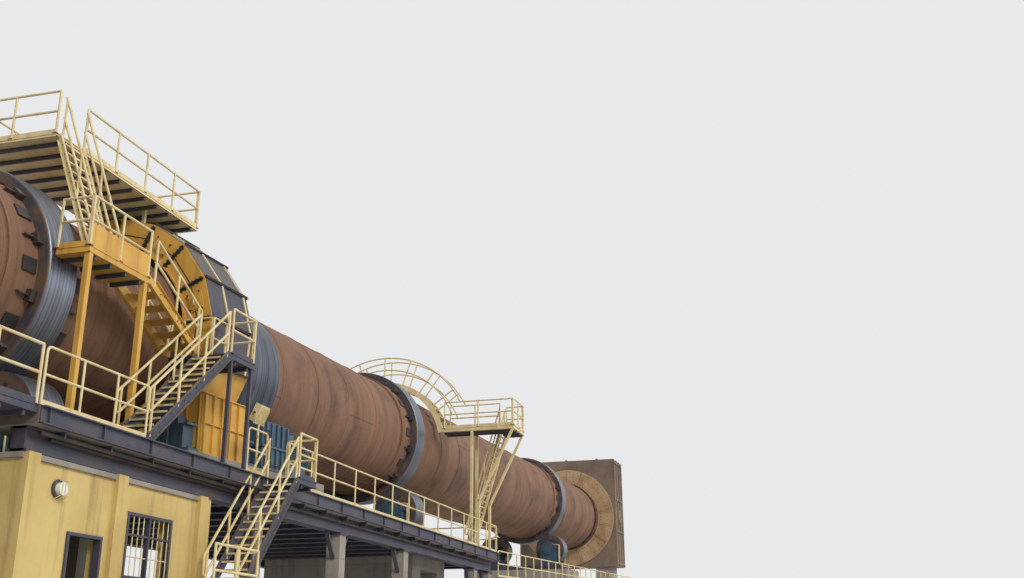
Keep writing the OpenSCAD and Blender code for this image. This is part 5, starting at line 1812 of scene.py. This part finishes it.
@dataclass
class HoodWork(Work):
    """The kiln hood: stiffeners, doors, peepholes, burner port and bolts."""

    x0: float = -15.5
    x1: float = -13.65
    half: float = 1.5
    z0: float = 2.3
    z1: float = 5.3
    bevel: float = 0.5
    port_z: float = 4.3
    port_bolts_r: float = 0.37
    levels: Pair = (0.9, 1.7)
    door: Pair = (0.82, 1.3)
    door_y: float = 0.48
    straps: Pair = (0.55, 1.35)

    def ribs(self) -> list[Bar]:
        """Gives the frames of stiffeners round the hood.

        Returns:
            The three hoops, the level bars and the upright ones.
        """
        middle, corner = (self.x0 + self.x1) / 2.0, self.z1 - self.bevel
        near = [(-self.half, self.z0 + 0.02), (-self.half, corner), (self.bevel - self.half, self.z1)]
        outline = near + [(-y, z) for y, z in reversed(near)]
        bars = [bar_between(Vector((x, *start)), Vector((x, *end)), 0.05, 0.05)
                for x in (self.x0 + 0.03, middle, self.x1 - 0.03) for start, end in zip(outline, outline[1:])]
        for z in (self.z0 + up for up in self.levels):
            bars += [plain_bar(middle, side * self.half, z, self.x1 - self.x0, 0.042, 0.04) for side in SIDES]
            bars.append(plain_bar(self.x0, 0.0, z, 0.042, 2.0 * self.half, 0.04))
        middle, high = (self.z0 + self.z1) / 2.0, self.z1 - self.z0 - 0.1
        return bars + [plain_bar(self.x0, y, middle, 0.036, 0.04, high) for y in (-0.95, 0.95)]

    def doors(self) -> list[Bar]:
        """Gives the doors in the front and the near side, with their straps.

        Returns:
            The bars.
        """
        side_z = self.z0 + 1.3
        bars = [plain_bar(self.x0 + 0.5, -self.half - 0.015, side_z, 0.4, 0.03, 0.5),
                plain_bar(self.x0 + 0.5, -self.half - 0.034, side_z, 0.36, 0.01, 0.05)]
        for y in (-self.door_y, self.door_y):
            bars.append(plain_bar(self.x0 - 0.02, y, self.z0 + 0.95, 0.04, *self.door))
            bars += [plain_bar(self.x0 - 0.046, y, self.z0 + up, 0.014, self.door[0] - 0.02, 0.07)
                     for up in self.straps]
        return bars

    def bolts(self) -> list[Head]:
        """Gives the bolts of the burner port and of the collar at the seal.

        Returns:
            The heads.
        """
        port = Vector((self.x0 - 0.046, 0.0, self.port_z))
        arm = Vector((0.0, self.port_bolts_r, 0.0))
        heads = [(port + Matrix.Rotation(math.radians(a), 3, "X") @ arm, Vector((-1.0, 0.0, 0.0)))
                 for a in spokes(16)]
        return heads + [(around(SITE.seal_u, 1.385, angle), axis_way()) for angle in spokes(36, 5.0)]

    def hinges(self) -> list[Line]:
        """Gives the hinge pins and handles of the front doors.

        Returns:
            Two pins and a handle for each door.
        """
        paths = (
            ((0.04, 0.9, 0.5), (0.04, 0.9, 0.62)), ((0.04, 0.9, 1.3), (0.04, 0.9, 1.42)),
            ((0.04, 0.12, 0.85), (0.09, 0.12, 0.85), (0.09, 0.12, 1.05), (0.04, 0.12, 1.05)))
        return [[Vector((self.x0 - off, side * y, self.z0 + up)) for off, y, up in path]
                for side, path in product(SIDES, paths)]

    def build(self) -> None:
        """Dresses the hood."""
        shop, front = self.shop, Vector((-1.0, 0.0, 0.0))
        shop.blocks("hood_ribs", self.ribs(), Finish.HOOD)
        shop.blocks("hood_doors", self.doors(), Finish.HOOD)
        port = [(Vector((self.x0 - 0.02, 0.0, self.port_z)), front)]
        shop.studs("hood_burner_port", port, 0.42, 0.04, sides=64)
        peepholes = [(Vector((self.x0 - 0.02, y, self.port_z + 0.12)), front) for y in (-0.6, 0.6)]
        shop.studs("hood_peepholes", peepholes, 0.09, 0.06, sides=32)
        shop.studs("hood_bolts", self.bolts(), 0.014, 0.014)
        shop.pipes("hood_hinges", self.hinges(), 0.014, Finish.CAST)


@dataclass
class InletWork(Work):
    """The inlet chamber and the segmented seals at both ends."""

    u0: float = 18.75
    wide: float = 1.5
    half: float = 1.7
    top: float = 2.0
    middle_z: float = 0.15
    high: float = 3.68
    uprights: tuple[float, ...] = (0.03, 0.5, 1.0, 1.47)
    levels: tuple[float, ...] = (-1.6, -0.5, 0.6, 1.9)
    seals: tuple[Trio, ...] = ((18.69, 1.65, -1.0), (SITE.seal_u + 0.06, 1.44, 1.0))
    plates: int = 18

    def ribs(self) -> list[Bar]:
        """Gives the stiffeners and the hatches of the chamber.

        Returns:
            The bars.
        """
        middle, back, z, high = self.u0 + self.wide / 2.0, self.u0 + self.wide, self.middle_z, self.high
        bars = [kiln_bar(middle, -self.half - 0.03, 0.05, 0.36, 0.03, 0.44),
                kiln_bar(back + 0.03, -0.55, 0.5, 0.03, 0.5, 0.6)]
        for side in SIDES:
            bars += [kiln_bar(self.u0 + off, side * (self.half + 0.02), z, 0.05, 0.04, high)
                     for off in self.uprights]
            bars += [kiln_bar(middle, side * (self.half + 0.018), z, self.wide, 0.036, 0.05)
                     for z in self.levels]
        for y in (-1.1, 0.0, 1.1):
            bars += [kiln_bar(back + 0.018, y, self.middle_z, 0.036, 0.05, high),
                     kiln_bar(middle, y, self.top + 0.018, self.wide, 0.05, 0.036)]
        return bars + [kiln_bar(back + 0.014, 0.0, z, 0.028, 3.36, 0.05) for z in (-1.0, 0.0, 1.0)]

    def laps(self) -> list[Bar]:
        """Gives the raised edge of each plate of both seals."""
        return [round_bar(u + side * 0.008, (1.13 + outer) / 2.0, angle, (0.014, 0.03, outer - 1.15))
                for (u, outer, side), angle in product(self.seals, spokes(self.plates, 1.6))]

    def bolts(self) -> list[Head]:
        """Gives the bolts of the seal plates.

        Returns:
            Nine heads for each plate.
        """
        return [(around(u + side * 0.006, 1.2 + share * (outer - 1.2) - inset, angle + off), axis_way(side))
                for (u, outer, side), angle, (share, inset), off in product(
                    self.seals, spokes(self.plates), ((0.0, 0.0), (0.5, 0.0), (1.0, 0.06)),
                    (5.0, 10.0, 15.0))]

    def build(self) -> None:
        """Dresses the inlet end and both seals."""
        self.shop.blocks("inlet_ribs", self.ribs(), Finish.HOOD)
        self.shop.blocks("seal_laps", self.laps(), Finish.SEAL)
        self.shop.studs("seal_bolts", self.bolts(), 0.012, 0.012)
        self.shop.hoops("inlet_seal_rim", [self.u0 - 0.045], 1.652, 0.014, Finish.SEAL)


@dataclass
class GalleryWork(Work):
    """The gallery's edge channels, grating, braces, joists and foot plates."""

    x0: float = 2.4003
    x1: float = 19.6
    drop: float = 2.62
    y0: float = -2.15
    y1: float = -1.4503
    posts: int = 8
    bars: int = 170

    def on_floor(self, x: float, y: float, high: float) -> Vector:
        """Gives a point by its height over the gallery's floor."""
        return Vector((x, y, AXIS_Z + x * math.tan(TILT) - self.drop / math.cos(TILT) + high))

    def edges(self) -> list[Bar]:
        """Gives the channels along both edges, a web and two lips each.

        Returns:
            The bars.
        """
        rows = ((0.03, 0.012, 0.1), (0.074, 0.03, 0.008), (-0.014, 0.03, 0.008))
        return [bar_between(self.on_floor(self.x0, y, -off), self.on_floor(self.x1, y, -off), wide, high)
                for y, (off, wide, high) in product((self.y0 - 0.006, self.y1 - 0.006), rows)]

    def braces(self) -> list[Bar]:
        """Gives the foot plates, knee braces, joists and slanting braces of the posts.

        Returns:
            The bars.
        """
        near, far, middle = self.y0 + 0.05, self.y1 - 0.05, (self.y0 + self.y1) / 2.0
        bars = []
        for x in spread(self.x0 + 0.23, self.x1 - 0.23, self.posts):
            for y in (near, far):
                bars.append(plain_bar(x, y, 0.008, 0.14, 0.1, 0.016))
                low, z = self.on_floor(x, y, -0.46), self.on_floor(x, y, -0.08).z
                ends = [Vector((x + way * 0.35, y, z)) for way in SIDES]
                bars += [bar_between(low, end, 0.03, 0.03) for end in ends if self.x0 < end.x < self.x1]
            bars.append(plain_bar(*self.on_floor(x, middle, -0.09), 0.05, 0.6, 0.06))
            bars.append(bar_between(Vector((x, near, 0.3)), self.on_floor(x, far, -0.56), 0.02, 0.03))
        return bars

    def build(self) -> None:
        """Dresses the gallery."""
        places = spread(self.x0 + 0.06, self.x1 - 0.06, self.bars)
        grating = [plain_bar(*self.on_floor(x, (self.y0 + self.y1) / 2.0, 0.002), 0.008, 0.62, 0.008)
                   for x in places]
        self.shop.blocks("gallery_edges", self.edges(), Finish.DARK)
        self.shop.blocks("gallery_grating", grating, Finish.DARK)
        self.shop.blocks("gallery_braces", self.braces(), Finish.DARK)


@dataclass
class LampWork(Work):
    """The floodlight's pane, hinge bolts and foot bolts."""

    x: float = -7.82
    y: float = -1.995
    post_h: float = 0.64
    tilt: float = 25.0

    def build(self) -> None:
        """Dresses the lamp."""
        hinge = Vector((self.x, self.y, SITE.deck_z + self.post_h + 0.135))
        turn = Matrix.Rotation(math.radians(self.tilt), 3, "X")
        pane = (hinge + turn @ Vector((0.0, 0.033, 0.004)), Vector((0.182, 0.006, 0.19)),
                Vector(turn.to_euler()))
        self.shop.blocks("lamp_pane", [pane], Finish.GLASS)
        bolts = [(hinge + Vector((side * 0.119, 0.0, 0.0)), Vector((side, 0.0, 0.0))) for side in SIDES]
        self.shop.studs("lamp_hinge_bolts", bolts, 0.014, 0.012)
        feet = [(Vector((self.x + a * 0.045, self.y + b * 0.045, SITE.deck_z + 0.012)), UP)
                for a, b in product(SIDES, SIDES)]
        self.shop.studs("lamp_foot_bolts", feet, 0.008, 0.01)


@dataclass
class CadFinishes(Work):
    """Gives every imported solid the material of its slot, which is the first finish with that slot."""

    by_slot: dict[str, Finish] = field(default_factory=lambda: {f.slot: f for f in reversed(Finish)})

    def dress(self, frame: dict) -> None:
        """Sets the materials.
        """
        for part in frame["record"]["subparts"]:
            name, finish = part["node"], self.by_slot[part["material_slot"]]
            if name.startswith("roller_") and name != "roller_bearings":
                finish = Finish.ROLLER_NEAR if name.endswith("near") else Finish.ROLLER_FAR
            materials = frame["nodes"][name].data.materials
            materials.clear()
            materials.append(self.shop.paint(finish))


@dataclass
class Studio:
    """The floor, the lights and the camera."""

    floor_half: float = 400.0
    fade: Pair = (26.0, 70.0)
    backdrop: Trio = tone(232, 233, 235)
    pale: Trio = tone(222, 222, 221)
    ambient: Trio = (0.88, 0.92, 1.0)
    ambient_power: float = 0.55
    spot: Trio = (-19.85, -8.485, 0.12)
    heading: float = 15.2
    pitch: float = 18.7
    roll: float = 0.2
    focal_px: float = 1102.0
    width_px: float = 1024.0
    sensor_mm: float = 36.0
    sight: float = 400.0

    def floor_paint(self) -> bpy.types.Material:
        """Builds the pale floor, which fades into the backdrop for the camera and keeps the shadows.

        Returns:
            The material.
        """
        g = Graph("floor_pale")
        here = g.place()
        x, y, _ = g.parts(here)
        far = g.reach(x, y).edge(*self.fade)
        clouded = g.mix(g.noise(here, 0.05, 2.0), self.pale, tuple(c * 0.98 for c in self.pale))
        glow = g.mix(far * g.node("ShaderNodeLightPath", {}, "Is Camera Ray"), BLACK, self.backdrop)
        return g.close(
            g.mix(far, clouded, BLACK), 0.9, 0.0, Emission_Color=glow, Emission_Strength=1.0,
            Specular_IOR_Level=0.0)

    def floor(self) -> None:
        """Lays the floor."""
        mesh = bpy.data.meshes.new("floor")
        corners = [(x * self.floor_half, y * self.floor_half, 0.0)
                   for x, y in ((-1, -1), (1, -1), (1, 1), (-1, 1))]
        mesh.from_pydata(corners, [], [(0, 1, 2, 3)])
        mesh.materials.append(self.floor_paint())
        floor = bpy.data.objects.new("floor", mesh)
        bpy.context.scene.collection.objects.link(floor)

    def sky(self) -> None:
        """Sets a world that shows the pale backdrop and gives an even light."""
        g = Graph("studio", bpy.data.worlds.new("studio"))
        rays = [g.node("ShaderNodeLightPath", {}, f"Is {word} Ray") for word in ("Camera", "Glossy")]
        lit = g.node("ShaderNodeBackground", Color=self.ambient, Strength=self.ambient_power)
        seen = g.node("ShaderNodeBackground", Color=self.backdrop)
        pick = g.node("ShaderNodeMixShader", Fac=g.math("MAXIMUM", *rays), Shader=lit, Shader_001=seen)
        g.end("ShaderNodeOutputWorld", pick)
        bpy.context.scene.world = g.owner

    def build(self) -> None:
        """Builds the floor, the world, the lamps and the camera."""
        self.floor()
        self.sky()
        bpy.context.scene.view_settings.view_transform = "Standard"
        self.lamp("key_soft", (-16.0, -22.0, 17.0), 1.9, 16.0, (1.0, 0.95, 0.87))
        self.lamp("fill_soft", (14.0, -20.0, 10.0), 0.7, 40.0, (0.9, 0.94, 1.0))
        self.lamp("back_soft", (6.0, 20.0, 18.0), 0.9, 30.0, (1.0, 0.96, 0.9))
        self.camera()

    def lamp(self, name: str, place: Trio, power: float, angle: float, colour: Trio) -> None:
        """Adds a far soft lamp.

        Args:
            name: the lamp's name.
            place: where its light comes from, seen from the origin.
            power: its strength.
            angle: the angle over which it is spread, in degrees.
            colour: its colour.
        """
        data = bpy.data.lights.new(name, "SUN")
        data.energy, data.angle, data.color = power, math.radians(angle), colour
        lamp = bpy.data.objects.new(name, data)
        lamp.location = place
        lamp.rotation_euler = (-Vector(place)).to_track_quat("-Z", "Y").to_euler()
        bpy.context.scene.collection.objects.link(lamp)

    def camera(self) -> None:
        """Adds the camera at the photograph's viewing angle."""
        yaw, pitch, roll = (math.radians(a) for a in (self.heading, self.pitch, self.roll))
        ahead = Vector((math.cos(yaw) * math.cos(pitch), math.sin(yaw) * math.cos(pitch), math.sin(pitch)))
        right = Vector((math.sin(yaw), -math.cos(yaw), 0.0))
        down = ahead.cross(right)
        side = right * math.cos(roll) + down * math.sin(roll)
        sink = down * math.cos(roll) - right * math.sin(roll)
        turn = Matrix((side, -sink, -ahead)).transposed().to_4x4()
        data = bpy.data.cameras.new("photo_view")
        data.sensor_width = self.sensor_mm
        data.lens = self.focal_px * self.sensor_mm / self.width_px
        data.clip_end = self.sight
        camera = bpy.data.objects.new("photo_view", data)
        camera.matrix_world = Matrix.Translation(self.spot) @ turn
        bpy.context.scene.collection.objects.link(camera)
        bpy.context.scene.camera = camera


def main() -> None:
    """Loads the frame, dresses it and sets the stage."""
    logging.basicConfig(level=logging.INFO, format="%(name)s: %(message)s")
    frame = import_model()
    shop = Workshop()
    CadFinishes(shop).dress(frame)
    for kind in (KilnWork, GuardWork, StationWork, DriveWork, DeckWork, WallWork, StairWork, PlatformWork,
                 RailWork, HoodWork, InletWork, GalleryWork, LampWork):
        LOG.info("dressing: %s", kind.__name__)
        kind(shop).build()
    Studio().build()
    LOG.info("%d pieces made", shop.pieces)


if __name__ == "__main__":
    main()
